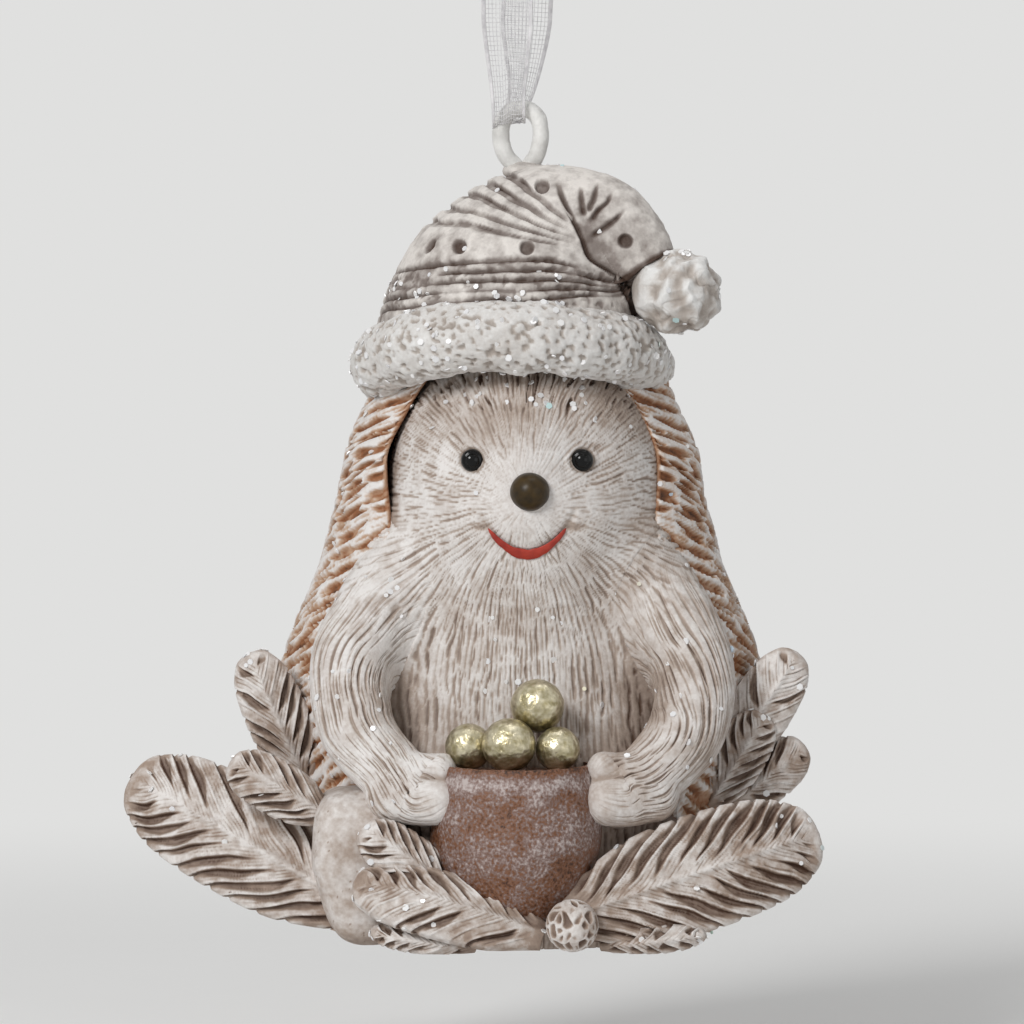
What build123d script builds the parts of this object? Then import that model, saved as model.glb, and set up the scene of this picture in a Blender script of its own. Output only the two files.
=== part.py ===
from build123d import *
import math
import os

# Hanging hedgehog ornament: a cast figure in a knitted hat, hung by a ribbon loop through a wire eye.
# Lengths are millimetres and angles degrees. The figure faces -Y, and left and right are as seen from
# the front. Heights are taken above the flat base while modelling, x from the line that it hangs on;
# at the end every piece moves so that the origin is the top of the ribbon loop.

# Torso, the seated body with its haunches
body_x = 0.4
torso_base_half_width = 18.0
torso_base_half_depth = 16.0
haunch_half_width = 19.5
haunch_half_depth = 17.5
haunch_height = 7.0
haunch_forward = 2.0
waist_half_width = 15.5
waist_half_depth = 13.0
waist_height = 24.0
neck_half_width = 11.5
neck_half_depth = 10.5
torso_height = 40.0

# Head, with the muzzle that stands out of it
head_x = 0.9
head_half_width = 14.1
head_half_depth = 13.2
head_half_height = 16.0
head_height = 44.6
head_forward = 1.5
muzzle_half_width = 5.6
muzzle_half_depth = 4.0
muzzle_half_height = 3.9
muzzle_drop = 1.1
muzzle_forward = 10.0

# Beads set in the face, each on a shank in its own hole
eye_radius = 1.15
eye_spacing = 10.9
eye_rise = 3.6
nose_radius = 1.95
nose_rise = 0.6
nose_sink_share = 0.75
shank_radius = 0.45
shank_length = 3.0

# Mouth, a crescent inlay flush with the face
mouth_width = 7.8
mouth_sag = 2.8
mouth_thickness = 0.7
mouth_depth = 0.6
mouth_drop = 3.6

# Spine coat, the mantle behind the head and shoulders, open in front
coat_base_half_width = 20.0
coat_skirt_half_width = 24.6
coat_shoulder_half_width = 20.2
coat_nape_half_width = 17.4
coat_top_half_width = 14.0
coat_base_half_depth = 15.6
coat_skirt_half_depth = 17.5
coat_shoulder_half_depth = 15.6
coat_nape_half_depth = 13.6
coat_top_half_depth = 10.9
coat_low_skirt_height = 12.0
coat_high_skirt_height = 26.0
coat_shoulder_height = 38.0
coat_nape_height = 50.0
coat_top_height = 57.0
coat_back = 2.5
coat_front = -4.0
# The main grooves among its quills run round it, and rise to the front.
quill_groove_pitch = 4.8
quill_groove_width = 1.3
quill_groove_depth = 0.7
quill_groove_tilt = 17

# Arms, mirrored about the body, bent at the elbow and ending in paws
shoulder_out = 12.9
shoulder_forward = 6.0
shoulder_height = 35.2
paw_out = 8.6
paw_forward = 18.6
paw_height = 15.8
elbow_out = 6.6
shoulder_radius = 4.5
upper_arm_radius = 4.0
wrist_radius = 3.1
paw_half_width = 3.1
paw_half_depth = 2.8
paw_half_height = 3.7
# Each row is how far along from shoulder to paw, and how much of the elbow's reach is out there.
arm_path_shares = [(0.0, 0.0), (0.36, 0.92), (0.68, 1.0), (0.9, 0.48), (1.0, 0.0)]

# Foot, the smooth rounded form at the lower left
foot_half_width = 4.5
foot_half_depth = 5.6
foot_half_height = 7.7
foot_lift = 0.3
foot_lean = 8.0
# Place on the haunches: x of their half width, y of their half depth.
foot_place_shares = (-0.82, -0.823)

# Bowl, hollowed at the top by a shallow recess
bowl_x = -0.2
bowl_forward = 17.0
bowl_foot_radius = 4.4
bowl_belly_radius = 8.5
bowl_rim_radius = 7.6
bowl_rim_width = 0.9
bowl_bottom_height = 2.0
bowl_belly_height = 12.0
bowl_rim_height = 18.3
bowl_recess_depth = 0.5
bowl_foot_slope = (1, 1)
bowl_rim_slope = (-0.35, 1)

# Berries heaped in the bowl
big_berry_radius = 2.65
left_berry_radius = 2.3
right_berry_radius = 2.2
middle_berry_x = -0.9
middle_berry_forward = 20.0
top_berry_x = 1.9
top_berry_forward = 17.4
top_berry_rise = 3.65
left_berry_x = -4.9
left_berry_forward = 17.8
right_berry_x = 3.9
right_berry_forward = 19.1

# Hat: the fur band is a ring tilted up at the front, the crown a dome and the tip a folded point
band_x = -0.6
band_height = 57.3
band_ring_radius = 12.8
band_radius = 3.65
band_tilt = 14.0
crown_height = 76.9
crown_half_width = 13.8
crown_half_depth = 13.4
crown_lean = 3.4
hat_groove_width = 0.8
hat_groove_depth = 0.6
# Knitted rows, over the band's middle
knit_rise = 5.1
knit_pitch = 2.05
knit_count = 3
knit_tilt = 8
# Wrinkles fan out from a point right of the hat, and stop at the fold.
fan_reach = 22.0
fan_rise = 8.7
fan_gap = 15.4
fan_first_turn = 8
fan_turn = 4.6
fan_count = 4
# Each row is how far up from the band's middle to the top, how wide, and how far leaning to the right.
crown_shares = [(-0.2, 0.95, 0.0), (0.15, 1.0, 0.02), (0.42, 0.92, 0.12), (0.7, 0.74, 0.35),
                (0.91, 0.45, 0.7), (1.0, 0.2, 0.9)]
tip_root_radius = 5.0
tip_end_radius = 2.95
tip_root_x = 4.0
tip_root_forward = 2.0
tip_root_height = 71.5
tip_reach = 9.1
tip_drop = 4.6
tip_forward = 4.0
# Each row is how far along the reach, how much of the drop, and the radius between root and end.
tip_path_shares = [(0.0, 0.0, 0.0), (0.45, -0.1, 0.45), (0.79, 0.4, 0.7), (1.0, 1.0, 1.0)]
pompom_radius = 4.35
pompom_x = 16.0
pompom_forward = 7.0
pompom_height = 64.7

# Wire eye on a shank in the hat, with a bead of resin round the shank
eye_wire_radius = 0.85
eye_ring_radius = 2.0
eye_ring_rise = 4.3
eye_crotch_sink = 0.3
eye_shank_depth = 6.0
hang_x = 0.3
hang_back = 0.7
collar_half_width = 2.2
collar_half_height = 0.9
collar_rise = 0.1

# Ribbon loop: a saddle through the eye, two legs and a knot with two tails
ribbon_thickness = 0.35
ribbon_half_width = 2.2
ribbon_slack = 0.5
saddle_half_width = 0.9
bend_radius = 2.0
bend_rise = 3.5
bend_gap = 0.3
bend_wrap_angle = 72.0
leg_length = 36.0
leg_shift = 1.0
knot_half_width = 3.0
knot_half_depth = 2.6
knot_half_height = 2.4
tail_length = 13.0
tail_half_width = 2.4
tail_splay = 24.0
hook_room = 3.0

# Fronds: pointed leaves in five sizes
frond_thickness = 3.0
large_frond_length = 27.6
large_frond_width = 11.6
rear_frond_length = 15.0
rear_frond_width = 6.4
small_frond_length = 11.0
small_frond_width = 5.6
front_frond_length = 19.5
front_frond_width = 7.0
under_frond_length = 10.5
under_frond_width = 2.8
frond_bow_share = 0.2
frond_thin_share = 0.4
# Each row is how far along, and how wide there.
frond_outline_shares = [(0.0, 0.4), (0.28, 0.9), (0.55, 1.0), (0.82, 0.84), (0.985, 0.36)]
frond_sizes = {
    "frond_left_large": (large_frond_length, large_frond_width),
    "frond_left_rear": (rear_frond_length, rear_frond_width),
    "frond_left_small": (small_frond_length, small_frond_width),
    "frond_left_front_upper": (small_frond_length, small_frond_width),
    "frond_left_front_lower": (front_frond_length, front_frond_width),
    "frond_left_under": (under_frond_length, under_frond_width),
    "frond_right_large": (large_frond_length, large_frond_width),
    "frond_right_rear": (rear_frond_length, rear_frond_width),
    "frond_right_middle": (small_frond_length, small_frond_width),
    "frond_right_tip": (small_frond_length, small_frond_width),
    "frond_right_under": (under_frond_length, under_frond_width),
}
# Root places of those behind the arms: x of the coat's skirt half width, y of the depth from the middle
# to the coat's front, z of the torso's height.
coat_frond_root_shares = {
    "frond_left_rear": (-0.85, 1.31, 0.37),
    "frond_right_rear": (0.81, 1.27, 0.4),
    "frond_right_middle": (0.77, 1.75, 0.33),
    "frond_right_tip": (0.82, 1.27, 0.31),
}
# Root places of the others: x of the haunches' half width, y of their half depth, z of the foot's half
# height.
haunch_frond_root_shares = {
    "frond_left_large": (-0.78, -0.71, 0.39),
    "frond_left_small": (-0.98, -0.82, 1.66),
    "frond_left_front_upper": (-0.34, -1.12, 0.73),
    "frond_left_front_lower": (0.126, -1.31, 0.23),
    "frond_left_under": (-0.214, -1.2, 0.08),
    "frond_right_large": (0.227, -1.25, 0.44),
    "frond_right_under": (0.416, -1.2, 0.1),
}
# Angles: the heading in front view from the right, the lean to the front, and how far the face looks up.
frond_angles = {
    "frond_left_large": (151, -12, 10),
    "frond_left_rear": (114, 0, 0),
    "frond_left_small": (150, 0, 15),
    "frond_left_front_upper": (143, 4, 20),
    "frond_left_front_lower": (165, -4, 25),
    "frond_left_under": (172, 0, 0),
    "frond_right_large": (17, -15, 10),
    "frond_right_rear": (57, 0, 0),
    "frond_right_middle": (58, 0, 0),
    "frond_right_tip": (38, 0, 0),
    "frond_right_under": (6, 0, 0),
}

# Seed cone at the lower right
cone_radius = 2.6
# Its middle, from the right large frond's root, in shares of its radius
cone_place_shares = (0.35, -1.0, -0.12)

# Cutting blocks reach this far past what they cut
overrun = 60.0

eye_ring_height = crown_height + eye_ring_rise
eye_crotch_height = crown_height - eye_crotch_sink
collar_height = crown_height + collar_rise
wire_top_height = eye_ring_height + eye_ring_radius
saddle_inner_radius = eye_wire_radius + ribbon_slack
saddle_outer_radius = saddle_inner_radius + ribbon_thickness
bend_height = wire_top_height + bend_rise
knot_height = bend_height + leg_length + knot_half_height
hang_height = knot_height - knot_half_height - hook_room


def ellipsoid(half_width, half_depth, half_height):
    return scale(Sphere(1), by=(half_width, half_depth, half_height))


def largest(shape):
    """The largest solid of what a cut leaves."""
    return max(shape.solids(), key=lambda solid: solid.volume)


def boxes_meet(first, second):
    one = first.bounding_box(optimal=False)
    two = second.bounding_box(optimal=False)
    low = [max(a, b) for a, b in zip(one.min, two.min)]
    high = [min(a, b) for a, b in zip(one.max, two.max)]
    return all(a <= b for a, b in zip(low, high))


def seated(piece, *others):
    """The piece cut to sit face to face on the others."""
    for other in others:
        if boxes_meet(piece, other):
            piece = largest(piece - other)
    return piece


def above_ground(piece):
    ground = Pos(0, 0, -overrun) * Box(2 * overrun, 2 * overrun, 2 * overrun)
    return seated(piece, ground)


def stacked(sections):
    """A loft through level ellipses, each (x, y, height, half width, half depth)."""
    return loft([Pos(x, y, z) * Ellipse(wide, deep) for x, y, z, wide, deep in sections])


def tapered_tube(points, radii):
    """A loft through circles square to a bent path."""
    path = [Vector(*point) for point in points]
    circles = []
    for index, radius in enumerate(radii):
        before = path[max(index - 1, 0)]
        after = path[min(index + 1, len(path) - 1)]
        circles.append(Plane(path[index], z_dir=after - before) * Circle(radius))
    return loft(circles)


def make_torso():
    front = -haunch_forward
    middle = (haunch_height + waist_height) / 2
    middle_half_width = (haunch_half_width + waist_half_width) / 2
    middle_half_depth = (haunch_half_depth + waist_half_depth) / 2
    return stacked([
        (body_x, front, 0, torso_base_half_width, torso_base_half_depth),
        (body_x, front, haunch_height, haunch_half_width, haunch_half_depth),
        (body_x, front / 2, middle, middle_half_width, middle_half_depth),
        (body_x, 0, waist_height, waist_half_width, waist_half_depth),
        (body_x, 0, torso_height, neck_half_width, neck_half_depth),
    ])


def face_depth(x, z):
    """Y of the head's round front at a place in front view."""
    across = (x - head_x) / head_half_width
    up = (z - head_height) / head_half_height
    return -head_forward - head_half_depth * math.sqrt(1 - across ** 2 - up ** 2)


def head_ball(inset=0):
    ball = ellipsoid(head_half_width - inset, head_half_depth - inset, head_half_height - inset)
    return Pos(head_x, -head_forward, head_height) * ball


def make_head():
    muzzle = ellipsoid(muzzle_half_width, muzzle_half_depth, muzzle_half_height)
    muzzle_y = -head_forward - muzzle_forward
    return head_ball() + Pos(head_x, muzzle_y, head_height - muzzle_drop) * muzzle


def bead(radius, x, y, z):
    shank = Pos(0, shank_length / 2, 0) * Rot(90, 0, 0) * Cylinder(shank_radius, shank_length)
    return Pos(x, y, z) * (Sphere(radius) + Pos(0, radius / 2, 0) * shank)


def make_eye(side):
    x = head_x + side * eye_spacing / 2
    z = head_height + eye_rise
    return bead(eye_radius, x, face_depth(x, z), z)


def make_nose():
    front = -head_forward - muzzle_forward - muzzle_half_depth
    return bead(nose_radius, head_x, front + nose_radius * (1 - nose_sink_share), head_height + nose_rise)


def make_mouth(head):
    top = head_height - mouth_drop
    low = top - mouth_sag
    left = (head_x - mouth_width / 2, top)
    right = (head_x + mouth_width / 2, top)
    lower_lip = ThreePointArc(left, (head_x, low), right)
    upper_lip = ThreePointArc(right, (head_x, low + mouth_thickness), left)
    crescent = Plane.XZ * make_face([lower_lip, upper_lip])
    return seated(largest(extrude(crescent, overrun) & head), head_ball(mouth_depth))


def coat_form(inset):
    """The coat closed all round, drawn in by the inset."""
    rows = [
        (0, coat_base_half_width, coat_base_half_depth),
        (coat_low_skirt_height, coat_skirt_half_width, coat_skirt_half_depth),
        (coat_high_skirt_height, coat_skirt_half_width, coat_skirt_half_depth),
        (coat_shoulder_height, coat_shoulder_half_width, coat_shoulder_half_depth),
        (coat_nape_height, coat_nape_half_width, coat_nape_half_depth),
        (coat_top_height, coat_top_half_width, coat_top_half_depth),
    ]
    return stacked([(body_x, coat_back, height, wide - inset, deep - inset) for height, wide, deep in rows])


def make_coat():
    opening = Pos(0, coat_front - overrun, 0) * Box(4 * overrun, 2 * overrun, 4 * overrun)
    return seated(coat_form(0), opening)


def grooved(piece, core, slabs):
    """The piece with a groove down to the core wherever a slab passes."""
    return largest(piece - [slab - core for slab in slabs])


def quill_slabs():
    count = int(coat_top_height / quill_groove_pitch)
    slab = Rot(-quill_groove_tilt, 0, 0) * Box(2 * overrun, 2 * overrun, quill_groove_width)
    return [Pos(0, coat_back, (number + 0.5) * quill_groove_pitch) * slab for number in range(count)]


def make_arm(side):
    points = []
    radii = []
    for along, out in arm_path_shares:
        reach = shoulder_out + along * (paw_out - shoulder_out) + out * elbow_out
        forward = shoulder_forward + along * (paw_forward - shoulder_forward)
        height = shoulder_height + along * (paw_height - shoulder_height)
        points.append((body_x + side * reach, -forward, height))
        radii.append(upper_arm_radius + along * (wrist_radius - upper_arm_radius))
    paw = Pos(*points[-1]) * ellipsoid(paw_half_width, paw_half_depth, paw_half_height)
    shoulder = Pos(*points[0]) * Sphere(shoulder_radius)
    return tapered_tube(points, radii) + paw + shoulder


def foot_place():
    across, forward = foot_place_shares
    return across * haunch_half_width, forward * haunch_half_depth, foot_half_height + foot_lift


def make_foot():
    foot = ellipsoid(foot_half_width, foot_half_depth, foot_half_height)
    seam_outward = Rot(0, 0, 180)
    return above_ground(Pos(*foot_place()) * Rot(0, foot_lean, 0) * seam_outward * foot)


def make_bowl():
    floor_radius = bowl_rim_radius - bowl_rim_width
    floor_height = bowl_rim_height - bowl_recess_depth
    foot = (bowl_foot_radius, bowl_bottom_height)
    belly = (bowl_belly_radius, bowl_belly_height)
    rim = (bowl_rim_radius, bowl_rim_height)
    profile = [
        Line((0, bowl_bottom_height), foot),
        Spline([foot, belly, rim], tangents=[bowl_foot_slope, bowl_rim_slope]),
        Line(rim, (floor_radius, bowl_rim_height)),
        Line((floor_radius, bowl_rim_height), (floor_radius, floor_height)),
        Line((floor_radius, floor_height), (0, floor_height)),
        Line((0, floor_height), (0, bowl_bottom_height)),
    ]
    turned = revolve(Plane.XZ * make_face(profile), Axis.Z)
    return Pos(bowl_x, -bowl_forward, 0) * turned


def make_berries():
    floor = bowl_rim_height - bowl_recess_depth
    top = floor + big_berry_radius + top_berry_rise
    places = {
        "berry_middle": (middle_berry_x, middle_berry_forward, floor + big_berry_radius, big_berry_radius),
        "berry_left": (left_berry_x, left_berry_forward, floor + left_berry_radius, left_berry_radius),
        "berry_right": (right_berry_x, right_berry_forward, floor + right_berry_radius, right_berry_radius),
        "berry_top": (top_berry_x, top_berry_forward, top, big_berry_radius),
    }
    return {name: Pos(x, -forward, z) * Sphere(radius) for name, (x, forward, z, radius) in places.items()}


def band_place():
    return Pos(band_x, 0, band_height) * Rot(-band_tilt, 0, 0)


def crown_form(inset):
    """The crown down into the head, drawn in by the inset."""
    rise = crown_height - band_height
    sections = []
    for up, wide, lean in crown_shares:
        place = (band_x + lean * crown_lean, hang_back * lean, band_height + up * rise)
        sections.append((*place, wide * crown_half_width - inset, wide * crown_half_depth - inset))
    return stacked(sections)


def make_crown():
    below = band_place() * Pos(0, 0, -overrun) * Box(2 * overrun, 2 * overrun, 2 * overrun)
    return seated(crown_form(0), below)


def hat_slabs():
    """Level slabs for the knitted rows, and slabs that fan out for the wrinkles left of the fold."""
    row = Rot(-knit_tilt, 0, 0) * Box(2 * overrun, 2 * overrun, hat_groove_width)
    rows = [Pos(0, 0, band_height + knit_rise + number * knit_pitch) * row for number in range(knit_count)]
    fan = Pos(band_x + fan_reach, 0, band_height + fan_rise)
    wrinkle = Pos(-fan_gap - overrun, 0, 0) * Box(2 * overrun, 2 * overrun, hat_groove_width)
    turns = [fan_first_turn + number * fan_turn for number in range(fan_count)]
    return rows + [fan * Rot(0, turn, 0) * wrinkle for turn in turns]


def make_tip():
    points = []
    radii = []
    for along, drop, taper in tip_path_shares:
        x = tip_root_x + along * tip_reach
        y = -tip_root_forward - along * tip_forward
        points.append((x, y, tip_root_height - drop * tip_drop))
        radii.append(tip_root_radius + taper * (tip_end_radius - tip_root_radius))
    return tapered_tube(points, radii)


def make_eyelet():
    """Half the teardrop is swept from the crotch to the top, mirrored, and set on the shank."""
    rise = eye_ring_height - eye_crotch_height
    half_angle = math.asin(eye_ring_radius / rise)
    tangent_x = eye_ring_radius * math.cos(half_angle)
    tangent = (tangent_x, eye_ring_height - eye_ring_radius * math.sin(half_angle))
    crotch = (0, eye_crotch_height)
    side = Line(crotch, tangent)
    round_top = TangentArc(tangent, (0, wire_top_height), tangent=side % 1)
    path = Plane.XZ * (Curve() + [side, round_top])
    section = Plane(path @ 0, z_dir=path % 0) * Circle(eye_wire_radius)
    half = sweep(section, path=path)
    shank = Pos(0, 0, eye_crotch_height - eye_shank_depth / 2) * Cylinder(eye_wire_radius, eye_shank_depth)
    return Pos(hang_x, hang_back, 0) * (half + mirror(half, Plane.YZ) + shank)


def make_collar():
    ball = ellipsoid(collar_half_width, collar_half_width, collar_half_height)
    return Pos(hang_x, hang_back, collar_height) * ball


def upright_plate(outline, face_y):
    """A ribbon-thick plate of an outline in front view, its nearer face at face_y."""
    front = Plane(origin=(hang_x, face_y, 0), x_dir=(1, 0, 0), z_dir=(0, -1, 0))
    return extrude(front * outline, -ribbon_thickness)


def make_ribbon_bight():
    """A saddle under the wire whose ends rise on both sides to round eyes where the legs bend."""
    depth = 2 * saddle_outer_radius
    high = bend_height + bend_radius - wire_top_height
    along_wire = Rot(0, 90, 0)
    outer = along_wire * Cylinder(saddle_outer_radius, 2 * bend_radius)
    outer += Pos(0, 0, high / 2) * Box(2 * bend_radius, depth, high)
    inner = along_wire * Cylinder(saddle_inner_radius, overrun)
    inner += Pos(0, 0, high) * Box(overrun, 2 * saddle_inner_radius, 2 * high)
    neck = Box(2 * saddle_half_width, overrun, bend_rise + depth)
    neck = Pos(0, 0, bend_rise / 2 - saddle_outer_radius) * neck
    round_ends = Pos(0, 0, bend_rise) * Rot(90, 0, 0) * Cylinder(bend_radius, overrun)
    folded = (outer - inner) & (neck + round_ends)
    return Pos(hang_x, hang_back, wire_top_height) * folded


def make_ribbon_leg(side):
    """One leg: it starts in a hollow round end that turns about the bight's round eye."""
    hollow = bend_radius + bend_gap
    wrap = math.radians(bend_wrap_angle)
    corner_x = hollow * math.sin(wrap)
    corner_z = bend_height + hollow * math.cos(wrap)
    top = bend_height + leg_length
    shift = side * leg_shift
    arc = ThreePointArc((-corner_x, corner_z), (0, bend_height + hollow), (corner_x, corner_z))
    outline = make_face([
        arc,
        Line((corner_x, corner_z), (shift + ribbon_half_width, top)),
        Line((shift + ribbon_half_width, top), (shift - ribbon_half_width, top)),
        Line((shift - ribbon_half_width, top), (-corner_x, corner_z)),
    ])
    face_y = -saddle_inner_radius - ribbon_thickness if side < 0 else saddle_inner_radius
    return upright_plate(outline, hang_back + face_y)


def make_knot():
    return Pos(hang_x, hang_back, knot_height) * ellipsoid(knot_half_width, knot_half_depth, knot_half_height)


def make_tails():
    tails = []
    for side in (-1, 1):
        strip = Box(2 * tail_half_width, ribbon_thickness, tail_length)
        swung = Rot(0, side * tail_splay, 0) * Pos(0, side * ribbon_thickness, tail_length / 2) * strip
        tails.append(Pos(hang_x, hang_back, knot_height) * swung)
    return tails


def frond_root(name):
    if name in coat_frond_root_shares:
        shares = coat_frond_root_shares[name]
        sizes = (coat_skirt_half_width, coat_front, torso_height)
    else:
        shares = haunch_frond_root_shares[name]
        sizes = (haunch_half_width, haunch_half_depth, foot_half_height)
    return Vector(*[share * size for share, size in zip(shares, sizes)])


def make_frond(name):
    """A pointed leaf, bowed and thickest half-way along."""
    length, width = frond_sizes[name]
    root = frond_root(name)
    heading, lean, facing = [math.radians(angle) for angle in frond_angles[name]]
    out = Vector(math.cos(heading) * math.cos(lean), -math.sin(lean), math.sin(heading) * math.cos(lean))
    face = Vector(0, -math.cos(facing), math.sin(facing))
    across = face.cross(out).normalized()
    normal = out.cross(across)
    bow = frond_bow_share * length
    sections = []
    for along, wide in frond_outline_shares:
        middle = root + out * (along * length) + normal * (bow * along * (1 - along))
        thick = frond_thickness * (frond_thin_share + (1 - frond_thin_share) * wide)
        sections.append(Plane(middle, x_dir=across, z_dir=out) * Ellipse(wide * width / 2, thick / 2))
    return above_ground(loft(sections))


def make_cone():
    middle = frond_root("frond_right_large") + Vector(*cone_place_shares) * cone_radius
    return above_ground(Pos(middle) * Sphere(cone_radius))


def make_wholes():
    """The figure's forms, still overlapping, in the order in which they are seated."""
    head = make_head()
    return {
        "torso": make_torso(),
        "left_eye": make_eye(-1),
        "right_eye": make_eye(1),
        "nose": make_nose(),
        "mouth": make_mouth(head),
        "head": head,
        "spine_coat": make_coat(),
        "left_foot": make_foot(),
        "left_arm": make_arm(-1),
        "right_arm": make_arm(1),
        "hat_band": band_place() * Torus(band_ring_radius, band_radius),
        "eyelet": make_eyelet(),
        "hat_crown": make_crown(),
        "hat_tip": make_tip(),
        "pompom": Pos(pompom_x, -pompom_forward, pompom_height) * Sphere(pompom_radius),
        "eyelet_collar": make_collar(),
        "bowl": make_bowl(),
        **make_berries(),
        **{name: make_frond(name) for name in frond_sizes},
        "seed_cone": make_cone(),
    }


def make_ribbon():
    knot = make_knot()
    return {
        "ribbon_bight": make_ribbon_bight(),
        "ribbon_front_leg": seated(make_ribbon_leg(-1), knot),
        "ribbon_back_leg": seated(make_ribbon_leg(1), knot),
        "ribbon_tails": Compound([seated(tail, knot) for tail in make_tails()]),
        "ribbon_knot": knot,
    }


def main():
    os.makedirs("parts", exist_ok=True)
    pieces = make_ribbon()
    earlier = []
    for name, whole in make_wholes().items():
        pieces[name] = seated(whole, *earlier)
        earlier.append(whole)
    pieces["spine_coat"] = grooved(pieces["spine_coat"], coat_form(quill_groove_depth), quill_slabs())
    pieces["hat_crown"] = grooved(pieces["hat_crown"], crown_form(hat_groove_depth), hat_slabs())
    to_origin = Pos(-hang_x, -hang_back, -hang_height)
    for name, piece in pieces.items():
        export_step(to_origin * piece, f"parts/{name}.step")


main()
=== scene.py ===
import functools
import math

import bpy
import numpy as np
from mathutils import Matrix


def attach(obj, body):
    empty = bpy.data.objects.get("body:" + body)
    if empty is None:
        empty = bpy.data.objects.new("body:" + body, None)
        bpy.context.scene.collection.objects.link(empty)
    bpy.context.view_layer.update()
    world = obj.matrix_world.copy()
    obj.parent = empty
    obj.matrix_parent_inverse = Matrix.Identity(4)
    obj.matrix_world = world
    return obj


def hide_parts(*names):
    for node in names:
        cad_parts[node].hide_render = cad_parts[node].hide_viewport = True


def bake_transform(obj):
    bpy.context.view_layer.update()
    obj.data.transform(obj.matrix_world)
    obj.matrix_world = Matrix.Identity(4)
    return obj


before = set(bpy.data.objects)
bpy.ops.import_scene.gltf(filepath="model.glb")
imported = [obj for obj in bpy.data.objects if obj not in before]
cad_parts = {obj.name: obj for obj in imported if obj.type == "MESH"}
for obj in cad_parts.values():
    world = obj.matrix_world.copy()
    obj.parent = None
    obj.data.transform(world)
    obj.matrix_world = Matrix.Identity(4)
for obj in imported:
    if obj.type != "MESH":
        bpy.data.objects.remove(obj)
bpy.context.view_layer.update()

# Sizes are in millimetres from the middle of the base, with the front towards -Y and left as seen from
# the front. The frame's own zero is where the ribbon hangs.
mm = 0.001
hang_place = np.array([0.3, 0.7, 119.7])

# Camera
camera_lens = 245.0
camera_sensor = 36.0
camera_rise = math.radians(3.0)
view_width = 102.4
view_middle = np.array([-0.6, -8.0, 42.8])

# Ribbon
ribbon_width = 5.0
front_eye_width = 3.2
back_eye_width = 2.2
weft_pitch = 0.46
weft_points = 19
warp_count = 13
warp_reach = 0.9
thread_radius = 0.034
selvage_radius = 0.09
selvage_threads = 3
selvage_step = 0.05
wire_top = 83.2
route_steps = 24
steep_thread = 0.8
# How the ribbon cups at the eye and in the loop, how it bunches, and how it drapes over the round wire
eye_cup = 0.5
loop_cup = 0.3
cup_level = 0.35
eye_bunch = 0.2
bunch_turn = 8.0
eye_drape = 0.5
drape_share = 0.92
# Each leg's route: x, y and height over the middle of the wire's top
front_route = [
    (-1.2, 0.15, -1.5), (-1.2, -1.1, -1.3), (-1.25, -1.75, 0.0), (-1.3, -1.7, 3.0),
    (-1.4, -1.6, 10.0), (-1.5, -1.6, 22.0), (-1.1, -1.5, 34.0), (-0.2, -0.6, 41.9),
]
back_route = [
    (-1.2, -0.15, -1.5), (-1.0, 1.1, -1.3), (-0.4, 1.75, 0.0), (0.3, 1.7, 3.0),
    (0.6, 1.6, 10.0), (1.2, 1.6, 22.0), (1.2, 1.5, 34.0), (0.2, 0.6, 41.9),
]
knot_middle = np.array([0.3, 0.7, 125.1])
knot_radii = (3.0, 2.6, 2.4)
knot_folds, knot_fold_twist, knot_fold_wander = 3, 1.7, 1.2
knot_threads, knot_thread_twist = 24, 6
tail_length = 13.0
tail_splay = math.radians(24.0)
tail_width = 4.8
tail_pinch = 0.45
tail_gap = 0.35
tail_root_share = 0.7
tail_wave, tail_wave_pitch = 0.25, 2.2
tail_cup, tail_cup_pitch = 0.15, 3

# Skins: the part of a ball that its rows cover, how far a rounded end closes, and a way that no tube runs
ball_span = (0.02, 0.98)
least_end = 0.0004
tube_guide = (0.0, 1.0, 0.15)
# The least that a length is divided by, and how far apart the levels of noise are numbered
tiny = 1e-9
noise_layer = 57
# How skins flow together: rounds of lifting, the most they lift, and how far they tuck under a neighbour
flow_steps = 5
highest_lift = 2.8
tucked_under = 0.8
# How many rows or balls stand for each form there
torso_gap_rows, crown_gap_rows = 60, 240
finger_balls, arm_balls, tip_balls = 9, 34, 26

# Body
body_x = 0.4
body_blend = 4.2
# Each row is height, half width, half depth and middle y.
torso_rows = [
    (0, 18, 16, -2), (7, 19.5, 17.5, -2), (15.5, 18.2, 15.25, -1), (24, 17, 13.2, 0),
    (31, 15, 12, 0), (40, 11.5, 10.5, 0),
]
torso_evenness = 0.5
chest_glitter_front = -4
# Each row is height, half width, half depth and the y of the front edge.
coat_rows = [
    (0, 20, 15.6, -6), (12, 24.6, 17.5, -11), (26, 24.6, 17.5, -10.4), (38, 20.2, 15.6, -8.9),
    (46, 18.4, 14.4, -6.5), (50, 17.4, 13.6, -5.8), (57, 14, 10.9, -5.4),
]
coat_back = 2.5
coat_lip = 0.55
coat_lip_fade = 0.6
coat_lip_columns = 10
coat_lip_curl = (2.6, 0.25)
coat_tilt, coat_tilt_below = 18, 20
# Each kind of stroke in the coat: its shift along and across, its length, pitch, seed and wander
coat_strokes = {
    "wide": (0, 0, 6.0, 1.6, 51, 0.35),
    "side": (3, 0.8, 4.0, 1.6, 55, 0.35),
    "scratch": (0, 0, 3.0, 0.62, 56, 0.4),
}
side_quill_share = 0.8
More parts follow.
